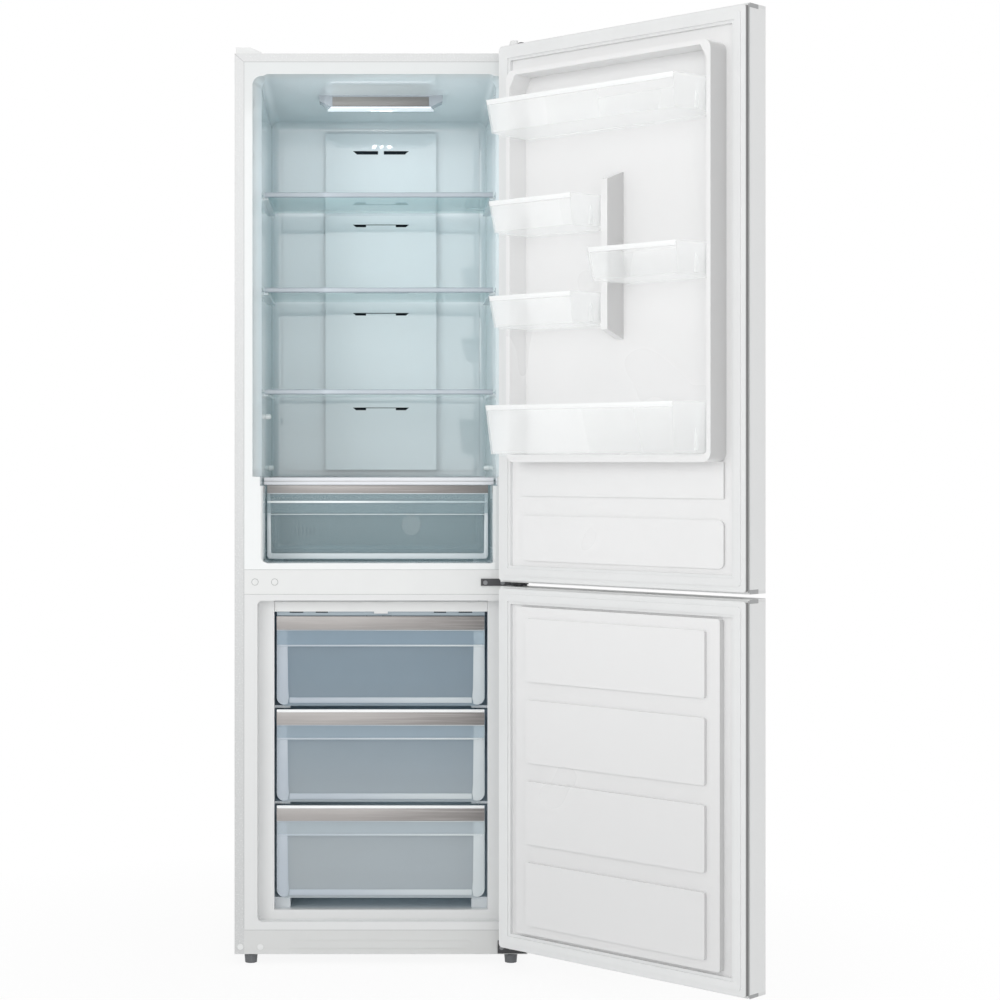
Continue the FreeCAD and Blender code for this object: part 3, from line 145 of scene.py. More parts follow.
def solidSurface(look):
    # one opaque coat or moulding: colour with slow variation, roughness that wanders, and a surface grain
    material, tree = newMaterial(look["name"])
    position = addNode(tree, "ShaderNodeTexCoord").outputs["Object"]
    slow = grainHeight(tree, position, look.get("driftMm", 120.0), 2.0)
    fine = grainHeight(tree, position, look["grainMm"], 3.0, look.get("stretch", (1.0, 1.0, 1.0)))
    tint = addNode(tree, "ShaderNodeMix", {"data_type": "RGBA", 6: linear(look["colour"]), 7: linear(look["drift"])},
                   {0: slow.outputs["Fac"]})
    colour = tint.outputs[2]
    if "along" in look:
        colour = colourAlong(tree, position, colour, look)
    # painted shade on the door sheet's steep flanks
    if "flankShade" in look:
        colour = paintShadeOnFlanks(tree, colour, look)
    if "speck" in look:
        # only the noise's upper part shows as specks
        speckMask = addNode(tree, "ShaderNodeMapRange", {1: 0.52, 2: 0.7, 3: 0.0, 4: look.get("speckShare", 0.5)},
                            {"Value": fine.outputs["Fac"]})
        mixed = addNode(tree, "ShaderNodeMix", {"data_type": "RGBA", 7: linear(look["speck"])},
                        {0: speckMask.outputs[0], 6: colour})
        colour = mixed.outputs[2]
    rough = look["roughness"]
    wander = look.get("roughnessWander", 0.05)
    roughness = addNode(tree, "ShaderNodeMapRange", {3: rough - wander, 4: rough + wander},
                        {"Value": slow.outputs["Fac"]})
    bump = addNode(tree, "ShaderNodeBump", {"Strength": look["grainStrength"], "Distance": look["grainDepthMm"] * mm},
                   {"Height": fine.outputs["Fac"]})
    shader = addNode(tree, "ShaderNodeBsdfPrincipled",
                     {"Metallic": look.get("metallic", 0.0), "IOR": look.get("ior", 1.5),
                      "Coat Weight": look.get("coat", 0.0), "Coat Roughness": look.get("coatRoughness", 0.1),
                      "Specular IOR Level": look.get("specular", 0.5)},
                     {"Base Color": colour, "Roughness": roughness.outputs[0], "Normal": bump.outputs[0]})
    finishMaterial(tree, shader)
    return material


def seeThroughSurface(look):
    # clear or frosted mouldings and glass: a thin veil of their own over what lies behind,
    # stronger where the eye grazes them
    material, tree = newMaterial(look["name"])
    position = addNode(tree, "ShaderNodeTexCoord").outputs["Object"]
    ripple = grainHeight(tree, position, look["grainMm"], 2.0)
    bump = addNode(tree, "ShaderNodeBump", {"Strength": look["grainStrength"], "Distance": look["grainDepthMm"] * mm},
                   {"Height": ripple.outputs["Fac"]})
    slow = grainHeight(tree, position, look.get("driftMm", 90.0), 2.0)
    tint = addNode(tree, "ShaderNodeMix", {"data_type": "RGBA", 6: linear(look["colour"]), 7: linear(look["drift"])},
                   {0: slow.outputs["Fac"]})
    colour = tint.outputs[2]
    if "along" in look:
        colour = colourAlong(tree, position, colour, look)
    roughness = addNode(tree, "ShaderNodeMapRange", {3: look["roughness"] * 0.8, 4: look["roughness"] * 1.3},
                        {"Value": slow.outputs["Fac"]})
    body = addNode(tree, "ShaderNodeBsdfPrincipled",
                   {"IOR": look["ior"], "Specular IOR Level": look.get("specular", 0.5)},
                   {"Base Color": colour, "Roughness": roughness.outputs[0], "Normal": bump.outputs[0]})
    if "scatter" in look:
        glow = addNode(tree, "ShaderNodeBsdfTranslucent", links={"Color": colour, "Normal": bump.outputs[0]})
        body = addNode(tree, "ShaderNodeMixShader", {0: look["scatter"]}, {1: body.outputs[0], 2: glow.outputs[0]})
    if "paintedGlow" in look:
        # painted glow: an emission that stands for the light carried along in the wall
        paintedGlow = addNode(tree, "ShaderNodeEmission", {"Strength": look["paintedGlow"]}, {"Color": colour})
        body = addNode(tree, "ShaderNodeAddShader", links={0: body.outputs[0], 1: paintedGlow.outputs[0]})
    clear = addNode(tree, "ShaderNodeBsdfTransparent", {"Color": linear(look["through"])})
    edge = addNode(tree, "ShaderNodeFresnel", {"IOR": look["ior"]})
    edge = addNode(tree, "ShaderNodeMath", {"operation": "MULTIPLY", 1: look.get("edgeShare", 1.0)},
                   {0: edge.outputs[0]})
    veil = addNode(tree, "ShaderNodeMath", {"operation": "ADD", 1: look["milk"], "use_clamp": True},
                   {0: edge.outputs[0]})
    path = addNode(tree, "ShaderNodeLightPath")  # clear plastic throws next to no shadow
    opening = addNode(tree, "ShaderNodeMapRange", {3: 1.0, 4: look.get("shadowShare", 0.2)},
                      {"Value": path.outputs["Is Shadow Ray"]})
    veil = addNode(tree, "ShaderNodeMath", {"operation": "MULTIPLY"}, {0: veil.outputs[0], 1: opening.outputs[0]})
    mixed = addNode(tree, "ShaderNodeMixShader", links={0: veil.outputs[0], 1: clear.outputs[0], 2: body.outputs[0]})
    finishMaterial(tree, mixed)
    return material


def dress(material, *names):
    for name in names:
        slots = nodes[name].data.materials
        if len(slots) == 0:
            slots.append(material)
        for index in range(len(slots)):
            slots[index] = material


# meshes

def finishPiece(mesh, name, material, body, opened=False):
    # a mesh in mm becomes a piece that rides on one body; opened pieces are drawn with their door shut
    for vertex in mesh.verts:
        vertex.co *= mm
    data = bpy.data.meshes.new(name)
    bmesh.ops.recalc_face_normals(mesh, faces=mesh.faces)
    if opened:
        pin = Vector((doorTurn["pinX"] * mm, doorTurn["pinY"] * mm, 0))
        turn = Matrix.Rotation(math.radians(doorTurn["angle"]), 4, "Z")
        turn = Matrix.Translation(pin) @ turn @ Matrix.Translation(-pin)
        bmesh.ops.transform(mesh, matrix=turn, verts=mesh.verts)
    mesh.to_mesh(data)
    mesh.free()
    piece = bpy.data.objects.new(name, data)
    bpy.context.scene.collection.objects.link(piece)
    data.materials.append(material)
    for polygon in data.polygons:
        polygon.use_smooth = True
    data.set_sharp_from_angle(angle=math.radians(35))  # small bevels stay smooth, corners stay crisp
    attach(piece, body)


def roundedPlate(low, high, bevel, segments=2):
    mesh = bmesh.new()
    bmesh.ops.create_cube(mesh, size=1.0)
    size = [high[i] - low[i] for i in range(3)]
    for vertex in mesh.verts:
        vertex.co = Vector([low[i] + (vertex.co[i] + 0.5) * size[i] for i in range(3)])
    bmesh.ops.bevel(mesh, geom=mesh.edges[:], offset=bevel, segments=segments, profile=0.5, affect="EDGES")
    return mesh


def slantedBar(lower, upper, bevel):
    # a bar between two rectangles, each given by its four corners
    mesh = bmesh.new()
    bottom = [mesh.verts.new(Vector(p)) for p in lower]
    top = [mesh.verts.new(Vector(p)) for p in upper]
    mesh.faces.new(bottom[::-1])
    mesh.faces.new(top)
    for i in range(4):
        mesh.faces.new((bottom[i], bottom[(i + 1) % 4], top[(i + 1) % 4], top[i]))
    bmesh.ops.bevel(mesh, geom=mesh.edges[:], offset=bevel, segments=2, profile=0.5, affect="EDGES")
    return mesh


def pushedOutline(points, along, bevel=0.0):
    # a flat outline of 3-D points in mm, pushed along a vector
    mesh = bmesh.new()
    face = mesh.faces.new([mesh.verts.new(Vector(p)) for p in points])
    made = bmesh.ops.extrude_face_region(mesh, geom=[face])
    moved = [g for g in made["geom"] if isinstance(g, bmesh.types.BMVert)]
    bmesh.ops.translate(mesh, vec=Vector(along), verts=moved)
    if bevel:
        way = Vector(along).normalized()
        rims = [e for e in mesh.edges if abs((e.verts[0].co - e.verts[1].co).normalized().dot(way)) < 0.5]
        bmesh.ops.bevel(mesh, geom=rims, offset=bevel, segments=2, profile=0.5, affect="EDGES")
    return mesh


def turnedShape(profile, centre, steps=40):
    # a closed turned form about an axis along Y: the profile gives radius and depth from back to front
    mesh = bmesh.new()
    rings = []
    for radius, depth in profile:
        rings.append([mesh.verts.new((centre[0] + radius * math.cos(2 * math.pi * i / steps), centre[1] + depth,
                                      centre[2] + radius * math.sin(2 * math.pi * i / steps))) for i in range(steps)])
    for first, second in zip(rings, rings[1:]):
        for i in range(steps):
            mesh.faces.new((first[i], first[(i + 1) % steps], second[(i + 1) % steps], second[i]))
    mesh.faces.new(rings[0])
    mesh.faces.new(rings[-1])
    return mesh


def cornerArc(centreX, centreZ, radius, start, end, steps=6):
    return [(centreX + radius * math.cos(math.radians(start + (end - start) * i / steps)),
             centreZ + radius * math.sin(math.radians(start + (end - start) * i / steps))) for i in range(steps + 1)]


# room, lamps and camera

def seenDirectly(tree):
    # 1 for rays that the camera, a mirror or a pane sends, 0 for the rays that light the object
    path = addNode(tree, "ShaderNodeLightPath")
    seen = addNode(tree, "ShaderNodeMath", {"operation": "MAXIMUM"},
                   {0: path.outputs["Is Camera Ray"], 1: path.outputs["Is Glossy Ray"]})
    return addNode(tree, "ShaderNodeMath", {"operation": "MAXIMUM"},
                   {0: seen.outputs[0], 1: path.outputs["Is Transmission Ray"]})


def makeRoom():
    floorMesh = bmesh.new()
    bmesh.ops.create_grid(floorMesh, x_segments=1, y_segments=1, size=world["floorReach"])
    data = bpy.data.meshes.new("studio_floor")
    floorMesh.to_mesh(data)
    floorMesh.free()
    floor = bpy.data.objects.new("studio_floor", data)
    bpy.context.scene.collection.objects.link(floor)
    material, tree = newMaterial("pale studio floor")
    position = addNode(tree, "ShaderNodeTexCoord").outputs["Object"]
    distance = addNode(tree, "ShaderNodeVectorMath", {"operation": "LENGTH"}, {0: position})
    level = addNode(tree, "ShaderNodeMapRange",
                    {1: world["glowNear"], 2: world["glowFar"], 3: world["floorGlow"], 4: 1.0},
                    {"Value": distance.outputs["Value"]})
    seen = seenDirectly(tree)
    share = addNode(tree, "ShaderNodeMath", {"operation": "MULTIPLY"}, {0: seen.outputs[0], 1: level.outputs[0]})
    matt = addNode(tree, "ShaderNodeBsdfDiffuse", {"Color": linear(world["floor"])})
    glow = addNode(tree, "ShaderNodeEmission", {"Color": linear(world["background"]), "Strength": 1.0})
    mixed = addNode(tree, "ShaderNodeMixShader", links={0: share.outputs[0], 1: matt.outputs[0], 2: glow.outputs[0]})
    finishMaterial(tree, mixed)
    data.materials.append(material)

    studio = bpy.data.worlds.new("studio")
    bpy.context.scene.world = studio
    studio.use_nodes = True
    tree = studio.node_tree
    tree.nodes.clear()
    seen = seenDirectly(tree)
    strength = addNode(tree, "ShaderNodeMapRange", {3: world["fill"], 4: 1.0}, {"Value": seen.outputs[0]})
    sky = addNode(tree, "ShaderNodeBackground", {"Color": linear(world["background"])},
                  {"Strength": strength.outputs[0]})
    addNode(tree, "ShaderNodeOutputWorld", links={"Surface": sky.outputs[0]})


def addSoftLamp(name, place, aim, size, watts, colour="#FFFFFF", seen=True, mirrored=True):
    lamp = bpy.data.lights.new(name, "AREA")
    lamp.shape = "RECTANGLE"
    lamp.size = size[0]
    lamp.size_y = size[1]
    lamp.energy = watts
    lamp.color = linear(colour)[:3]
    holder = bpy.data.objects.new(name, lamp)
    holder.location = place
    holder.rotation_euler = (Vector(aim) - Vector(place)).to_track_quat("-Z", "Y").to_euler()
    holder.visible_camera = seen
    holder.visible_glossy = mirrored
    bpy.context.scene.collection.objects.link(holder)


# focal length and principal point in the 1000 px wide frame, place in metres
cameraSetup = {"sensor": 36.0, "frame": 1000.0, "focal": 2131.2, "centre": (380.94, 460.4),
               "place": (0.0, -4.33, 1.0231)}


def makeCamera():
    data = bpy.data.cameras.new("camera")
    frameWide, (centreX, centreY) = cameraSetup["frame"], cameraSetup["centre"]
    data.sensor_width = cameraSetup["sensor"]
    data.lens = cameraSetup["focal"] * cameraSetup["sensor"] / frameWide
    data.shift_x = (frameWide / 2 - centreX) / frameWide
    data.shift_y = (centreY - frameWide / 2) / frameWide
    holder = bpy.data.objects.new("camera", data)
    holder.location = cameraSetup["place"]
    holder.rotation_euler = (math.radians(90), 0, 0)
    bpy.context.scene.collection.objects.link(holder)
    bpy.context.scene.camera = holder


# place and aim in metres, size of the panel in metres, watts
studioLamps = {
    "window_left": ((-2.8, -3.8, 2.5), (0.1, 0.0, 1.1), (2.2, 2.2), 54.0),
    "front_soft": ((0.2, -6.0, 1.5), (0.1, 0.0, 0.95), (3.0, 2.4), 44.0),
    "overhead": ((0.2, -1.6, 4.2), (0.25, 0.0, 1.0), (2.0, 1.6), 8.0),
    "right_soft": ((3.0, -3.0, 2.8), (0.6, -0.4, 1.7), (1.8, 1.8), 9.0),
}

makeRoom()
makeCamera()
for lampName, (place, aim, size, watts) in studioLamps.items():
    addSoftLamp(lampName, place, aim, size, watts)
bpy.context.scene.view_settings.view_transform = "Standard"
print("room, lamps and camera made")


# finishes of the CAD nodes: grain, drift and "along" in mm, "along" on the object's axis 0, 1 or 2

absMoulding = {"grainMm": 0.8, "grainStrength": 0.15, "grainDepthMm": 0.03, "ior": 1.54}
coarseAbs = dict(absMoulding, grainStrength=0.2, grainDepthMm=0.04, roughness=0.45)
softPvc = {"grainMm": 0.6, "grainStrength": 0.2, "grainDepthMm": 0.03, "ior": 1.53}
smoothStyrene = {"grainMm": 1.0, "grainStrength": 0.1, "grainDepthMm": 0.03, "ior": 1.59}
# the liner's white, with painted shade that turns it bluer grey from the flange into the cavity
linerWithDepthShade = {"colour": "#E6E8E8", "drift": "#E3E6E6", "driftMm": 160.0, "grainMm": 3.0, "grainStrength": 0.05,
             "grainDepthMm": 0.05, "ior": 1.59, "along": {"axis": 1, "from": 4.0, "to": 60.0, "colour": "#DDE5E8"}}
# painted sheen: the foil darkens from left to right
foilPaintedSheen = {"axis": 0, "from": -150.0, "to": 230.0}
foil = {"colour": "#AFABA9", "drift": "#A7A3A1", "speck": "#BEBAB8", "speckShare": 0.5, "driftMm": 160.0,
        "grainMm": 2.2, "stretch": (0.012, 1.0, 1.0), "grainStrength": 0.25, "grainDepthMm": 0.04,
        "roughness": 0.36, "metallic": 0.25, "along": dict(foilPaintedSheen, colour="#8A8684")}

solidFinishes = {
    # pressed steel with a baked enamel: semi-gloss white, a faint orange peel
    "enamel": {"name": "baked enamel on steel sheet", "colour": "#EDEEEE", "drift": "#EBECEC", "grainMm": 1.6,
               "grainStrength": 0.12, "grainDepthMm": 0.05, "roughness": 0.32, "coat": 0.25, "coatRoughness": 0.12},
    # the body sheet carries a fine stucco, which the eye reads as specks; painted shade darkens it towards the floor
    "bodyEnamel": {"name": "stucco enamel on steel sheet", "colour": "#DEDFDF", "drift": "#D9DADA", "grainMm": 2.8,
                   "speck": "#ECEDED", "speckShare": 0.6, "grainStrength": 0.35, "grainDepthMm": 0.12,
                   "roughness": 0.36, "coat": 0.2, "coatRoughness": 0.15,
                   "along": {"axis": 2, "from": 1750.0, "to": 200.0, "colour": "#CDCECE"}},
    # high impact polystyrene drawn over a mould: glossy and white; the cooler tint in the depth of the cavity is
    # painted shade
    "fridgeLiner": dict(linerWithDepthShade, name="high impact polystyrene, cool white", roughness=0.055,
                        roughnessWander=0.01),
    # the duct is moulded, not drawn, and mirrors the lamp a little sharper
    "ductPlastic": dict(linerWithDepthShade, name="moulded polystyrene, glossy cool white", roughness=0.045,
                        roughnessWander=0.005),
    # the freezer's sheet has a satin sheen; the blue-grey behind its flange is painted shade
    "freezerLiner": {"name": "high impact polystyrene, white", "colour": "#E2E3E3", "drift": "#DFE0E0", "grainMm": 3.0,
                     "grainStrength": 0.08, "grainDepthMm": 0.06, "roughness": 0.3, "ior": 1.59,
                     "along": {"axis": 1, "from": 28.0, "to": 60.0, "colour": "#CBD3D8"}},
    # the door sheet is even and satin and greyer low down; the grey on its steep flanks is painted shade
    "doorLiner": {"name": "high impact polystyrene, door sheet", "colour": "#EEEEEE", "drift": "#EBEBEB",
                  "driftMm": 300.0, "grainMm": 3.0, "grainStrength": 0.05, "grainDepthMm": 0.05, "roughness": 0.28,
                  "roughnessWander": 0.02, "ior": 1.59, "flankShade": "#CACACA", "flankShadeShare": 0.85,
                  "along": {"axis": 2, "from": 900.0, "to": 100.0, "colour": "#E1E1E1"}},
    # plain white ABS with a low sheen and a fine eroded grain
    "trim": dict(absMoulding, name="moulded ABS, white", colour="#E8E9E8", drift="#E3E4E4", roughness=0.4),
    # the kick panel's ABS is off-white, a shade duller than the frame
    "kick": dict(absMoulding, name="moulded ABS, off-white", colour="#D9DAD9", drift="#D4D5D4", roughness=0.45),
    # light grey ABS sets the recessed grip a step darker than the door
    "grip": dict(coarseAbs, name="moulded ABS, light grey", colour="#C2C4C6", drift="#B8BABC"),
    # mid grey ABS makes seams and cap ends thin lines that stay readable; the same grey paints the shade in the cover's
    # groove, round the rail's two caps and on the doors' panel returns
    "greyPartsAndShade": dict(coarseAbs, name="moulded ABS, mid grey", colour="#AFB0B1", drift="#A6A7A8"),
    # soft PVC is nearly matt, with no sharp highlight
    "seal": dict(softPvc, name="soft PVC seal", colour="#E9EAEA", drift="#E3E4E4", roughness=0.5),
    # painted shade: the shaded flank of the bellows is a matt grey line beside the white seal
    "sealShade": dict(softPvc, name="soft PVC seal, painted shade on the flank", colour="#8F8F8F", drift="#878787", roughness=0.6),
    # pearl polystyrene reads blue-grey in the shade of its shelf, with a clean sheen
    "shelfTrim": dict(smoothStyrene, name="moulded polystyrene, pearl white", colour="#A2AAB1", drift="#9CA5AD",
                      roughness=0.2),
    # the crisper cover's trim catches more light and reads whiter
    "coverTrim": dict(smoothStyrene, name="moulded polystyrene, white", colour="#C6C8CC", drift="#C2C4C9",
                      roughness=0.22),
    # bright white polystyrene for the wall pegs; on the drawer noses, bin rims and stiffeners the same white is a
    # painted highlight where a clear edge turns to the light
    "whiteAndEdgeHighlight": dict(smoothStyrene, name="moulded polystyrene, bright white", colour="#FAFBFB", drift="#F6F8F8",
                     grainStrength=0.06, roughness=0.2),
    # black zinc is near black with a soft metal sheen
    "hingeSteel": {"name": "black zinc on steel", "colour": "#3C3C3E", "drift": "#4A4A4C", "grainMm": 0.5,
                   "grainStrength": 0.3, "grainDepthMm": 0.03, "roughness": 0.4, "metallic": 0.6},
    # bright zinc gives the screw heads small grey glints
    "screwSteel": {"name": "zinc plated steel", "colour": "#8C8D8F", "drift": "#7A7B7E", "grainMm": 0.4,
                   "grainStrength": 0.2, "grainDepthMm": 0.02, "roughness": 0.5, "metallic": 0.9},
    # nylon is waxy and half matt
    "nylon": {"name": "moulded nylon, grey", "colour": "#6E7073", "drift": "#626467", "grainMm": 0.7,
              "grainStrength": 0.25, "grainDepthMm": 0.04, "roughness": 0.5, "ior": 1.53},
    # hot dipped zinc is cool grey with pale spangles
    "galvanised": {"name": "galvanised steel sheet", "colour": "#A9ADB0", "drift": "#959A9E", "grainMm": 9.0,
                   "speck": "#C3C7CA", "speckShare": 0.6, "grainStrength": 0.05, "grainDepthMm": 0.02,
                   "roughness": 0.4, "metallic": 0.85},
    # rigid foam is cream, matt and porous
    "foam": {"name": "rigid polyurethane foam", "colour": "#E3D9B4", "drift": "#D6CBA2", "grainMm": 1.2,
             "grainStrength": 0.5, "grainDepthMm": 0.2, "roughness": 0.9, "specular": 0.2},
    # black enamel is deep, with a wet line of light
    "blackEnamel": {"name": "black enamel on steel", "colour": "#141516", "drift": "#1C1D1F", "grainMm": 1.2,
                    "grainStrength": 0.15, "grainDepthMm": 0.05, "roughness": 0.35, "coat": 0.3},
    # rolled aluminium is pale, with a blurred reflection
    "aluminium": {"name": "mill finish aluminium", "colour": "#B9BCBF", "drift": "#A9ADB0", "grainMm": 0.6,
                  "grainStrength": 0.15, "grainDepthMm": 0.02, "roughness": 0.38, "metallic": 1.0},
    # polypropylene is black with a greasy, blurred sheen
    "blackPlastic": {"name": "moulded polypropylene, black", "colour": "#232426", "drift": "#2B2C2E", "grainMm": 0.8,
                     "grainStrength": 0.2, "grainDepthMm": 0.04, "roughness": 0.5, "ior": 1.49},
    # brushed foil under clear lacquer is a warm grey; its lines are drawn coarser than real so that they show, and a
    # painted sheen leaves it paler at the left, darker at the right
    "brushedFoil": dict(foil, name="brushed aluminium foil"),
    # the crisper's foil is from a darker batch
    "brushedFoilDark": dict(foil, name="brushed aluminium foil, darker batch", colour="#989492", drift="#918D8B",
                            speck="#A5A19F", along=dict(foilPaintedSheen, colour="#797573")),
    # matt print behind lacquer on the lamp's face, paler where the sheet catches the window
    "lampFace": {"name": "lacquered print, warm grey", "colour": "#999895", "drift": "#92908D", "grainMm": 1.5,
                 "grainStrength": 0.05, "grainDepthMm": 0.02, "roughness": 0.3,
                 "along": {"axis": 0, "from": -90.0, "to": 110.0, "colour": "#878583"}},
    # the freezer panel's lip lies in shade, a blue-grey band
    "panelLip": {"name": "high impact polystyrene, shaded lip", "colour": "#A9B6BE", "drift": "#A1AFB8",
                 "grainMm": 2.0, "grainStrength": 0.08, "grainDepthMm": 0.05, "roughness": 0.35, "ior": 1.59},
    # painted shade: a dark sheet stands behind the slots, so that they read dark
    "shadeBacking": {"name": "dark backing, painted shade", "colour": "#2A333A", "drift": "#222A30", "grainMm": 2.5,
                 "grainStrength": 0.5, "grainDepthMm": 0.3, "roughness": 0.9, "specular": 0.2},
}

iceTint = {"colour": "#C3D4DF", "drift": "#BCCEDA", "through": "#F3F7F9", "grainMm": 14.0, "grainStrength": 0.06,
           "grainDepthMm": 0.2, "roughness": 0.14, "ior": 1.59}
frosted = {"through": "#F2F6F8", "grainMm": 10.0, "grainStrength": 0.08, "grainDepthMm": 0.2, "roughness": 0.2,
           "ior": 1.59}

clearFinishes = {
    # tempered float glass is nearly unseen, with a slight green in its edges
    "glass": {"name": "tempered float glass", "colour": "#C9DDE0", "drift": "#C0D6DA", "through": "#F4FAFA",
              "grainMm": 60.0, "grainStrength": 0.02, "grainDepthMm": 0.1, "roughness": 0.03, "ior": 1.52,
              "milk": 0.04, "specular": 1.0, "edgeShare": 0.7},
    # clear drawers of moulded polystyrene have a cold tint and a milky body; painted shade darkens the fronts towards
    # the top
    "clearDrawer": dict(iceTint, name="general purpose polystyrene, ice tint", milk=0.4, scatter=0.3,
                        along={"axis": 2, "from": 620.0, "to": 200.0, "colour": "#E6ECEF"}),
    # the crisper is clearer and leans to green
    "clearCrisper": dict(iceTint, name="general purpose polystyrene, water tint", milk=0.28, scatter=0.3,
                         colour="#B2C4C8", drift="#ABBEC2"),
    # the etched border of a freezer drawer is milky against the clear wall, whiter to the right
    "frostedFrame": dict(frosted, name="general purpose polystyrene, frosted frame", colour="#D9E0E8",
                         drift="#D2DAE3", milk=0.55,
                         along={"axis": 0, "from": -150.0, "to": 180.0, "colour": "#F1F6F7"}),
    # the crisper's border is milkier still
    "crisperFrame": dict(frosted, name="general purpose polystyrene, frosted border", colour="#DCE2E4",
                         drift="#D6DDE0", milk=0.7),
    # a polished ridge gives a white glint that dulls to the right
    "ridgeLight": dict(frosted, name="general purpose polystyrene, polished ridge", colour="#FBFCFC",
                       drift="#F5F8F8", grainStrength=0.04, roughness=0.15, milk=0.7,
                       along={"axis": 0, "from": -120.0, "to": 120.0, "colour": "#B9C6CA"}),
    # a moulded mark that is only a thin veil on the crisper
    "faintMark": dict(frosted, name="general purpose polystyrene, faint mark", colour="#C3CFD1", drift="#BCC9CC",
                      through="#FFFFFF", grainStrength=0.05, roughness=0.25, ior=1.4, milk=0.13, edgeShare=0.3),
    # clear door bins are hardly tinted; a painted glow in their walls stands for the light they carry along
    "clearBin": {"name": "general purpose polystyrene, clear", "colour": "#FAFBFB", "drift": "#F7F8F8",
                 "through": "#FFFFFF", "grainMm": 8.0, "grainStrength": 0.06, "grainDepthMm": 0.2, "roughness": 0.16,
                 "ior": 1.59, "milk": 0.17, "edgeShare": 0.35, "scatter": 0.3, "shadowShare": 0.2, "paintedGlow": 0.085},
}

wornBy = {
    "bodyEnamel": ("outer_shell",),
    "enamel": ("upper_door_panel", "lower_door_panel"),
    "galvanised": ("back_panel", "base_pan"),
    "foam": ("insulation", "upper_door_insulation", "lower_door_insulation"),
    "fridgeLiner": ("fridge_liner",),
    "ductPlastic": ("duct_cover",),
    "freezerLiner": ("freezer_liner", "evaporator_cover"),
    "doorLiner": ("upper_door_liner", "lower_door_liner"),
    "trim": ("freezer_top_panel", "mullion_rail", "hinge_covers", "screw_caps", "upper_door_end_caps",
             "lower_door_end_caps"),
    "kick": ("kick_panel",),
    "grip": ("upper_door_grip", "lower_door_grip"),
    "seal": ("upper_door_gasket", "lower_door_gasket"),
    "shelfTrim": ("shelf_upper_trim", "shelf_middle_trim", "shelf_lower_trim", "lamp_housing"),
    "coverTrim": ("crisper_cover_trim",),
    "glass": ("shelf_upper_glass", "shelf_middle_glass", "shelf_lower_glass", "crisper_cover_glass"),
    "clearCrisper": ("crisper_drawer",),
    "clearDrawer": ("freezer_drawer_top", "freezer_drawer_middle", "freezer_drawer_bottom"),
    "clearBin": ("bin_top", "bin_bottom", "bin_hinge_side_upper", "bin_hinge_side_lower", "bin_handle_side"),
    "hingeSteel": ("top_hinge", "middle_hinge", "bottom_hinge"),
    "screwSteel": ("hinge_screws",),
    "nylon": ("foot_left", "foot_right", "roller_left", "roller_right"),
    "aluminium": ("evaporator",),
    "blackPlastic": ("fan_motor", "fan_blade", "drip_tray", "cord_gland"),
    "blackEnamel": ("compressor", "condenser"),
}

looks = {key: solidSurface(look) for key, look in solidFinishes.items()}
looks.update({key: seeThroughSurface(look) for key, look in clearFinishes.items()})
for lookName, nodeNames in wornBy.items():
    dress(looks[lookName], *nodeNames)
print("finishes given to the CAD nodes")


# lamp: lit lens, printed face and the light that it throws

lampParts = {"lensColour": "#F6FAFF", "lensGlow": 0.24, "faceX": (-103.0, 102.0), "faceY": (199.4, 200.2),
             "faceZ": (1775.6, 1795.6), "frostMm": 0.8, "frostStrength": 0.1, "frostDeepMm": 0.03,
             "lensRoughness": 0.35, "lensIor": 1.49, "level": 1.7705, "ledAim": (0.5, 1.60),
             "ledX": (-15.7, 2.3, 20.5), "ledY": 228.0, "ledSize": 0.007, "ledWatts": 0.014}
# panels that light the insides as the lamp's glow would; no camera or mirror sees them
insideLamps = {
    "compartment_wash": ((-0.0045, 0.005, 1.305), (-0.0045, 0.5, 1.305), (0.47, 0.95), 0.62, "#FFFFFF"),
    "right_wall_wash": ((-0.12, 0.24, 1.42), (0.237, 0.24, 1.42), (0.26, 0.74), 0.38, "#FFFFFF"),
    "freezer_wash": ((0.0, 0.462, 0.41), (0.0, 0.0, 0.41), (0.40, 0.56), 0.30, "#FFFFFF"),
    "lamp_throw": ((0.0, 0.217, lampParts["level"]), (0.0, 0.23, 1.0), (0.18, 0.03), 0.22, "#E4F2F8"),
}


def makeLensFinish():
    # diffusing acrylic with the board lit behind it: an even cold glow, no bright spots
    material, tree = newMaterial("opal acrylic, lit")
    position = addNode(tree, "ShaderNodeTexCoord").outputs["Object"]
    frost = grainHeight(tree, position, lampParts["frostMm"], 2.0)
    bump = addNode(tree, "ShaderNodeBump",
                   {"Strength": lampParts["frostStrength"], "Distance": lampParts["frostDeepMm"] * mm},
                   {"Height": frost.outputs["Fac"]})
    shader = addNode(tree, "ShaderNodeBsdfPrincipled",
                     {"Base Color": linear(lampParts["lensColour"]), "Roughness": lampParts["lensRoughness"],
                      "IOR": lampParts["lensIor"], "Emission Color": linear(lampParts["lensColour"]),
                      "Emission Strength": lampParts["lensGlow"]},
                     {"Normal": bump.outputs[0]})
    finishMaterial(tree, shader)
    return material


def makeLamp():
    dress(makeLensFinish(), "lamp_lens")
    low, high = zip(lampParts["faceX"], lampParts["faceY"], lampParts["faceZ"])
    finishPiece(roundedPlate(low, high, 0.3), "lamp_face_print", looks["lampFace"], "cabinet")
    for lampName, (place, aim, size, watts, colour) in insideLamps.items():
        addSoftLamp(lampName, place, aim, size, watts, colour, False, False)
    for index, x in enumerate(lampParts["ledX"]):  # each dot of the light board shows as a spark on the duct
        place = (x * mm, lampParts["ledY"] * mm, lampParts["level"])
        addSoftLamp(f"led_{index + 1}", place, (x * mm, *lampParts["ledAim"]),
                    (lampParts["ledSize"], lampParts["ledSize"]), lampParts["ledWatts"], seen=False)


makeLamp()
print("lamp lit")


# fridge compartment: a dark sheet of painted shade behind the duct's slots, return grille, pegs on the walls

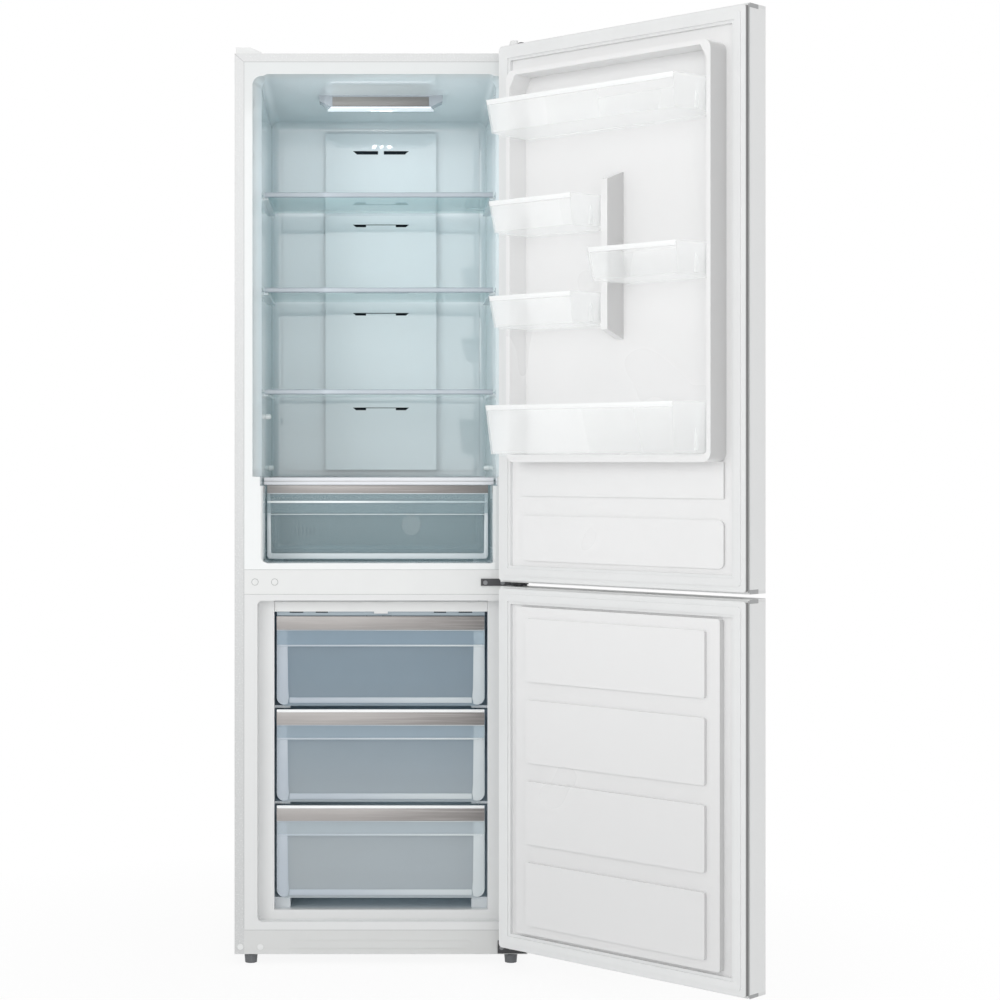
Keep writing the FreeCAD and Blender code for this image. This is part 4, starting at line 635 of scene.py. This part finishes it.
compartment = {"pegs": ((-1, 238.0, 1117.0), (-1, 370.0, 1006.0), (1, 370.0, 1006.0)), "pegReach": 11.0,
               "pegRadius": 6.0, "leftWall": -246.0, "rightWall": 237.0,
               "backingLow": (-118, 493.4, 1008), "backingHigh": (118, 496.8, 1752),
               "grilleX": -196.0, "grilleY": (497.6, 500.5), "grilleZ": (853.5, 873.0),
               "grilleEdge": (7.0, 3.0, 6.0), "slots": 6, "slotPitch": 8.6, "slotWide": 4.2, "slotDeep": (-0.4, 0.6)}


def makeCompartment():
    # painted shade: a dark sheet behind the duct cover, seen through its slots
    finishPiece(roundedPlate(compartment["backingLow"], compartment["backingHigh"], 1.0), "duct_shade_backing",
                looks["shadeBacking"], "cabinet")
    for index, (side, y, z) in enumerate(compartment["pegs"]):
        wall = compartment["leftWall"] if side < 0 else compartment["rightWall"]
        radius, reach = compartment["pegRadius"], compartment["pegReach"]
        profile = [(radius, -1.0), (radius, reach * 0.55), (radius * 0.85, reach * 0.85), (radius * 0.4, reach)]
        mesh = turnedShape(profile, (0, 0, 0), 24)
        turn = Matrix.Translation((wall, y, z)) @ Matrix.Rotation(math.radians(90 * side), 4, "Z")
        bmesh.ops.transform(mesh, matrix=turn, verts=mesh.verts)
        finishPiece(mesh, f"liner_peg_{index + 1}", looks["whiteAndEdgeHighlight"], "cabinet")
    low, high = compartment["grilleZ"]
    left = compartment["grilleX"]
    right = left + compartment["slotPitch"] * compartment["slots"]
    front, rear = compartment["grilleY"]
    edgeLeft, edgeRight, edgeUp = compartment["grilleEdge"]
    finishPiece(roundedPlate((left - edgeLeft, front, low - edgeUp), (right + edgeRight, rear, high + edgeUp), 1.0),
                "return_grille", looks["fridgeLiner"], "cabinet")
    near, far = (front + deep for deep in compartment["slotDeep"])
    # the grille's slots are dark plates of painted shade
    for index in range(compartment["slots"]):
        x = left + index * compartment["slotPitch"]
        finishPiece(roundedPlate((x, near, low), (x + compartment["slotWide"], far, high), 0.3),
                    f"return_slot_shade_{index + 1}", looks["shadeBacking"], "cabinet")


makeCompartment()
print("fridge compartment fitted out")


# drawer fronts: foil strip, nose painted white as a highlight, step line painted pale as a highlight, and frosted
# frame, on the drawer's "face" in mm from the front

freezerFront = {"left": -213.5, "right": 212.0, "face": 33.0, "nose": 6.0, "strip": 25.5, "sideBand": 22.0,
                "step": 3.2, "lowInset": 26.0, "lowBand": (6.0, 17.0)}
drawerFronts = {
    # the top drawer's nose lies in shade, so it gets no painted highlight
    "freezer_drawer_top": dict(freezerFront, bottom=520.4, top=703.9, nose=0.0, strip=27.5),
    "freezer_drawer_middle": dict(freezerFront, bottom=323.7, top=513.2),
    "freezer_drawer_bottom": dict(freezerFront, bottom=127.0, top=316.5),
    "crisper_drawer": {"bottom": 816.5, "top": 971.5, "left": -237.2, "right": 223.1, "face": 108.0, "nose": 0.0,
                       "strip": 16.5, "sideBand": 7.0, "step": 1.8, "lowInset": 3.0, "lowBand": (1.5, 13.0),
                       "frameLook": "crisperFrame", "foilLook": "brushedFoilDark"},
}
stepDrop = 61.5  # from the drawer's top edge down to the step line
# how far each piece reaches in front of and behind the drawer's face
frontDepth = {"nose": (-1.6, 2.0), "strip": (-0.8, 0.1), "edge": (-0.9, 0.1), "step": (-0.8, 0.3),
              "side": (1.5, 4.1), "low": (2.6, 4.1)}
edgeDrop = (1.8, 0.1)  # the strip's lower edge, below the strip
stepInset = 5.0
# the frame's upright: gaps at its foot and top, its round foot, and how the inner edge leans
uprightShape = {"footGap": 2.5, "topGap": 1.5, "footShare": 0.55, "footMore": 3.0, "lean": (3.0, 1.5),
                "leanUp": (0.9, 2.2)}


def sideBandOutline(spec, side):
    # the frame's upright: straight outside, a round foot, and an inner edge that leans a little
    bottom = spec["bottom"] + uprightShape["footGap"]
    top = spec["top"] - spec["nose"] - spec["strip"] - uprightShape["topGap"]
    outer = spec["left"] if side < 0 else spec["right"]
    inner = outer - side * spec["sideBand"]
    foot = spec["sideBand"] * uprightShape["footShare"] + uprightShape["footMore"]
    arc = cornerArc(0.0, 0.0, foot, 180, 300, 8)
    points = [(outer, top)]
    points += [(outer - side * (foot + a), bottom + foot + b) for a, b in arc]
    for lean, up in zip(uprightShape["lean"], uprightShape["leanUp"]):
        points.append((inner - side * lean, bottom + foot * up))
    points.append((inner, top))
    return points


def frontPlate(spec, depth, left, right, low, high, bevel, segments=2):
    near, far = (spec["face"] + reach for reach in frontDepth[depth])
    return roundedPlate((left, near, low), (right, far, high), bevel, segments)


def makeDrawerFront(name, spec):
    left, right, top = spec["left"], spec["right"], spec["top"]
    frame = looks[spec.get("frameLook", "frostedFrame")]
    stripTop = top - spec["nose"]
    # the nose's white is a painted highlight on the front's top edge
    if spec["nose"]:
        finishPiece(frontPlate(spec, "nose", left, right, stripTop, top + 0.2, 1.4, 3), f"{name}_nose",
                    looks["whiteAndEdgeHighlight"], name)
    stripLow = stripTop - spec["strip"]
    finishPiece(frontPlate(spec, "strip", left, right, stripLow, stripTop, 0.3), f"{name}_strip",
                looks[spec.get("foilLook", "brushedFoil")], name)
    finishPiece(frontPlate(spec, "edge", left, right, stripLow - edgeDrop[0], stripLow - edgeDrop[1], 0.5),
                f"{name}_strip_edge", frame, name)
    # the step line's pale frosting is a painted highlight along the step
    stepLow = top - stepDrop
    finishPiece(frontPlate(spec, "step", left + stepInset, right - stepInset, stepLow, stepLow + spec["step"], 0.6, 3),
                f"{name}_step_highlight", frame, name)
    near, far = frontDepth["side"]
    for side, edgeName in ((-1, "left"), (1, "right")):
        outline = [(x, spec["face"] + near, z) for x, z in sideBandOutline(spec, side)]
        finishPiece(pushedOutline(outline, (0, far - near, 0), 0.5), f"{name}_frame_{edgeName}", frame, name)
    inset = spec["lowInset"]
    low, high = (spec["bottom"] + up for up in spec["lowBand"])
    finishPiece(frontPlate(spec, "low", left + inset, right - inset, low, high, 0.7, 3), f"{name}_frame_low", frame,
                name)


for drawerName, drawerSpec in drawerFronts.items():
    makeDrawerFront(drawerName, drawerSpec)

crisperDetail = {"discX": 63.1, "discZ": 888.2, "discRadius": 20.5, "discY": 110.9,
                 "ridgeX": (-236.7, 222.6), "ridgeY": (106.6, 108.3), "ridgeZ": (934.5, 938.8)}


def makeCrisperDetail():
    radius = crisperDetail["discRadius"]
    centre = (crisperDetail["discX"], crisperDetail["discY"], crisperDetail["discZ"])
    profile = [(radius, 1.2), (radius, 0.3), (radius - 1.0, 0.0), (radius - 2.2, 0.2), (radius - 3.0, 0.9)]
    finishPiece(turnedShape(profile, centre), "crisper_disc", looks["faintMark"], "crisper_drawer")
    low, high = zip(crisperDetail["ridgeX"], crisperDetail["ridgeY"], crisperDetail["ridgeZ"])
    finishPiece(roundedPlate(low, high, 1.2, 3), "crisper_ridge", looks["ridgeLight"], "crisper_drawer")


makeCrisperDetail()
print("drawer fronts made")


# door bins: thick rims along their fronts, and an upright stiffener inside each side wall, both painted white as a
# highlight where the clear plastic's edges catch the light

wideBin = {"left": -238.5, "right": 229.5}
hingeSideBin = {"left": 3.5, "right": 229.5, "height": 60.0, "reach": 126.0}
binRims = {
    "bin_top": dict(wideBin, floor=1655.0, height=63.0, reach=134.0),
    "bin_bottom": dict(wideBin, floor=1035.0, height=94.0, reach=136.0),
    "bin_hinge_side_upper": dict(hingeSideBin, floor=1463.536),
    "bin_hinge_side_lower": dict(hingeSideBin, floor=1279.962),
    "bin_handle_side": {"left": -238.5, "right": -12.5, "floor": 1357.81, "height": 60.0, "reach": 126.0},
}
# the bin's own draft, taper and shoulder, then the rim and the stiffener
rimShape = {"endGap": 1.0, "frontDraft": 12.0, "sideDraft": 4.0, "taper": 11.5, "innerFace": -10.0, "shoulder": 40.0,
            "tall": 9.5, "proud": 0.3, "thick": 3.2, "endNear": 1.6, "endFar": 0.6,
            "stiffenerLow": 6.0, "stiffenerY": 52.0, "stiffenerDeep": 10.0, "stiffenerThick": 0.9, "wall": 2.8}


def makeBinRim(name, spec):
    top = spec["floor"] + spec["height"] + rimShape["proud"]
    front = rimShape["innerFace"] + spec["reach"]
    left = spec["left"] + rimShape["endGap"] + rimShape["taper"]
    right = spec["right"] - rimShape["endGap"] - rimShape["taper"]
    levels = []
    for down in (rimShape["tall"], 0.0):
        shift = rimShape["frontDraft"] * down / spec["height"]
        pull = rimShape["sideDraft"] * down / spec["height"]
        far = front - shift + rimShape["proud"]
        near = far - rimShape["thick"]
        inNear, inFar = pull + rimShape["endNear"], pull + rimShape["endFar"]
        levels.append([(left + inFar, far, top - down), (left + inNear, near, top - down),
                       (right - inNear, near, top - down), (right - inFar, far, top - down)])
    finishPiece(slantedBar(levels[0], levels[1], 0.7), f"{name}_rim", looks["whiteAndEdgeHighlight"], name,
                opened=True)


def makeBinStiffener(name, spec, label, wall, inward):
    levels = []
    thick, deep = rimShape["stiffenerThick"], rimShape["stiffenerDeep"]
    for up in (rimShape["stiffenerLow"], spec["height"] - rimShape["tall"]):
        corners = []
        for forward, outward in ((0.0, 0.0), (0.0, thick), (deep, thick), (deep, 0.0)):
            y = rimShape["stiffenerY"] + forward
            tapered = (y - rimShape["shoulder"]) / (spec["reach"] + rimShape["innerFace"] - rimShape["shoulder"])
            drafted = rimShape["sideDraft"] * (1.0 - up / spec["height"])
            inset = rimShape["endGap"] + rimShape["wall"] + drafted + rimShape["taper"] * tapered + outward
            corners.append((wall + inward * inset, y, spec["floor"] + up))
        levels.append(corners)
    finishPiece(slantedBar(levels[0], levels[1], 0.3), f"{name}_stiffener_{label}", looks["whiteAndEdgeHighlight"], name,
                opened=True)


for binName, binSpec in binRims.items():
    makeBinRim(binName, binSpec)
    makeBinStiffener(binName, binSpec, "left", binSpec["left"], 1)
    makeBinStiffener(binName, binSpec, "right", binSpec["right"], -1)
print("door bin rims made")


# cabinet front: hairline seams, and the lip under the freezer's top panel

frontLines = {"half": 277.9, "outer": 297.0, "kickTop": 69.0, "mullionLow": 751.0, "mullionTop": 801.0,
              "lipTop": 1832.5, "top": 1849.5, "seamWide": 0.7, "proud": 0.25, "deep": 0.5,
              "lipX": 213.0, "lipY": (34.0, 36.0), "lipZ": (705.2, 713.8),
              "mitreWide": 0.9, "mitreEnd": (0.3, 0.6), "slotX": (-173, -121, 121, 173),
              "slotHalf": (14.0, 12.5, 12.5, 14.0), "slotY": (33.4, 34.2), "slotDrop": (2.6, 0.2)}


def makeFrontLines():
    half, wide, proud, deep = (frontLines[key] for key in ("half", "seamWide", "proud", "deep"))
    kickTop, lipTop = frontLines["kickTop"], frontLines["lipTop"]
    lines = {
        "seam_left": ((-half - wide, -proud, kickTop), (-half, deep, lipTop)),
        "seam_right": ((half, -proud, kickTop), (half + wide, deep, lipTop)),
        "seam_top": ((-half, -proud, lipTop), (half, deep, lipTop + wide)),
    }
    levels = {"mullion_top": frontLines["mullionTop"], "mullion_low": frontLines["mullionLow"], "kick": kickTop}
    for name, level in levels.items():
        lines[f"seam_{name}"] = ((-half, -proud, level - wide / 2), (half, deep, level + wide / 2))
    for name, (low, high) in lines.items():
        finishPiece(roundedPlate(low, high, 0.1), name, looks["greyPartsAndShade"], "cabinet")
    for side, name in ((-1, "mitre_left"), (1, "mitre_right")):
        innerX, outerX, outerTop = side * half, side * frontLines["outer"], frontLines["top"]
        endX, endZ = frontLines["mitreEnd"]
        outline = [(innerX, deep, lipTop), (outerX, deep, outerTop), (outerX, deep, outerTop - frontLines["mitreWide"]),
                   (innerX + side * endX, deep, lipTop - endZ)]
        finishPiece(pushedOutline(outline, (0, -proud - deep, 0)), name, looks["greyPartsAndShade"], "cabinet")
    low, high = frontLines["lipZ"]
    front, rear = frontLines["lipY"]
    finishPiece(roundedPlate((-frontLines["lipX"], front, low), (frontLines["lipX"], rear, high), 0.8),
                "freezer_panel_lip", looks["panelLip"], "cabinet")
    front, rear = frontLines["slotY"]
    slotLow, slotHigh = (high - drop for drop in frontLines["slotDrop"])
    # the slots under the lip are dark plates of painted shade
    for index, (x, reach) in enumerate(zip(frontLines["slotX"], frontLines["slotHalf"])):
        finishPiece(roundedPlate((x - reach, front, slotLow), (x + reach, rear, slotHigh), 0.3),
                    f"freezer_lip_slot_shade_{index + 1}", looks["shadeBacking"], "cabinet")


makeFrontLines()

# rivet of the top hinge's pin, and rings of painted shadow around the two caps of the front rail
smallMetal = {"rivetX": 282.0, "rivetY": -50.0, "rivetZ": 1856.5, "rivetRadius": 7.5, "rivetRise": 6.0,
              "capX": (-255.9, -215.9), "capZ": 776.0, "capRadius": 5.9, "ringWide": 1.2}


def makeSmallMetal():
    radius, rise = smallMetal["rivetRadius"], smallMetal["rivetRise"]
    profile = [(radius, 0.0), (radius, rise * 0.5), (radius * 0.8, rise * 0.85), (radius * 0.4, rise)]
    mesh = turnedShape(profile, (0, 0, 0), 28)
    place = (smallMetal["rivetX"], smallMetal["rivetY"], smallMetal["rivetZ"])
    turn = Matrix.Translation(place) @ Matrix.Rotation(math.radians(90), 4, "X")
    bmesh.ops.transform(mesh, matrix=turn, verts=mesh.verts)
    finishPiece(mesh, "top_hinge_rivet", looks["hingeSteel"], "cabinet")
    for index, x in enumerate(smallMetal["capX"]):
        radius = smallMetal["capRadius"]
        # a grey ring of painted shadow round each cap
        outer = radius + smallMetal["ringWide"]
        ring = turnedShape([(outer, 0.3), (outer, -0.2), (radius, -0.35)], (x, 0, smallMetal["capZ"]), 28)
        finishPiece(ring, f"mullion_cap_shadow_ring_{index + 1}", looks["greyPartsAndShade"], "cabinet")


makeSmallMetal()
print("cabinet front lines made")

# the cover's front trim is two bars with a groove between them; a grey strip paints the groove's shade
coverGroove = {"low": 978.6, "high": 980.8, "face": 108.0, "proud": 0.15, "deep": 0.4, "end": 1.5}
trimLow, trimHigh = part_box("crisper_cover_trim")
grooveLow = (trimLow.x / mm + coverGroove["end"], coverGroove["face"] - coverGroove["proud"], coverGroove["low"])
grooveHigh = (trimHigh.x / mm - coverGroove["end"], coverGroove["face"] + coverGroove["deep"], coverGroove["high"])
finishPiece(roundedPlate(grooveLow, grooveHigh, 0.1), "crisper_cover_groove_shade", looks["greyPartsAndShade"], "crisper_cover")
print("crisper cover grooved")


# doors: painted shade on the flank of the seal and on the strip of the panel's return beside it, and cap ends on the
# free edge

doorEdges = {
    "upper_door": {"low": 786.0, "high": 1846.0, "caps": ((1842.8, 1850.6), (781.0, 788.8))},
    "lower_door": {"low": 55.0, "high": 766.0, "caps": ((763.6, 771.0), (49.5, 56.0))},
}
# X and Y of each strip's two corners, with the door shut
edgeStrips = {"seal": ((-294.6, -9.9), (-293.6, -3.4)), "return": ((-297.3, -10.1), (-294.7, -9.6)),
              "cap": ((-297.9, -38.0), (-297.1, -11.0)), "returnLonger": 3.0}


def edgeStrip(kind, low, high, bevel):
    (nearX, nearY), (farX, farY) = edgeStrips[kind]
    return roundedPlate((nearX, nearY, low), (farX, farY, high), bevel)


def makeDoorEdge(name, spec):
    low, high, longer = spec["low"], spec["high"], edgeStrips["returnLonger"]
    # painted shade: grey strips on the seal's flank and on the panel's return
    finishPiece(edgeStrip("seal", low, high, 0.2), f"{name}_seal_shade_flank", looks["sealShade"], name,
                opened=True)
    finishPiece(edgeStrip("return", low - longer, high + longer, 0.15), f"{name}_return_shade_strip", looks["greyPartsAndShade"],
                name, opened=True)
    for index, (capLow, capHigh) in enumerate(spec["caps"]):
        finishPiece(edgeStrip("cap", capLow, capHigh, 0.3), f"{name}_cap_end_{index + 1}", looks["greyPartsAndShade"], name,
                    opened=True)


for doorName, doorSpec in doorEdges.items():
    makeDoorEdge(doorName, doorSpec)
print("door edges made")


# soft edges on the CAD nodes

softEdges = {"outer_shell": 0.6, "mullion_rail": 0.4, "kick_panel": 0.5, "hinge_covers": 1.2, "lamp_housing": 0.8}


def softenEdges():
    for name, width in softEdges.items():
        bevel = nodes[name].modifiers.new("soft edge", "BEVEL")
        bevel.width = width * mm
        bevel.segments = 2
        bevel.limit_method = "ANGLE"
        bevel.angle_limit = math.radians(40)  # only the sheet's real corners


softenEdges()
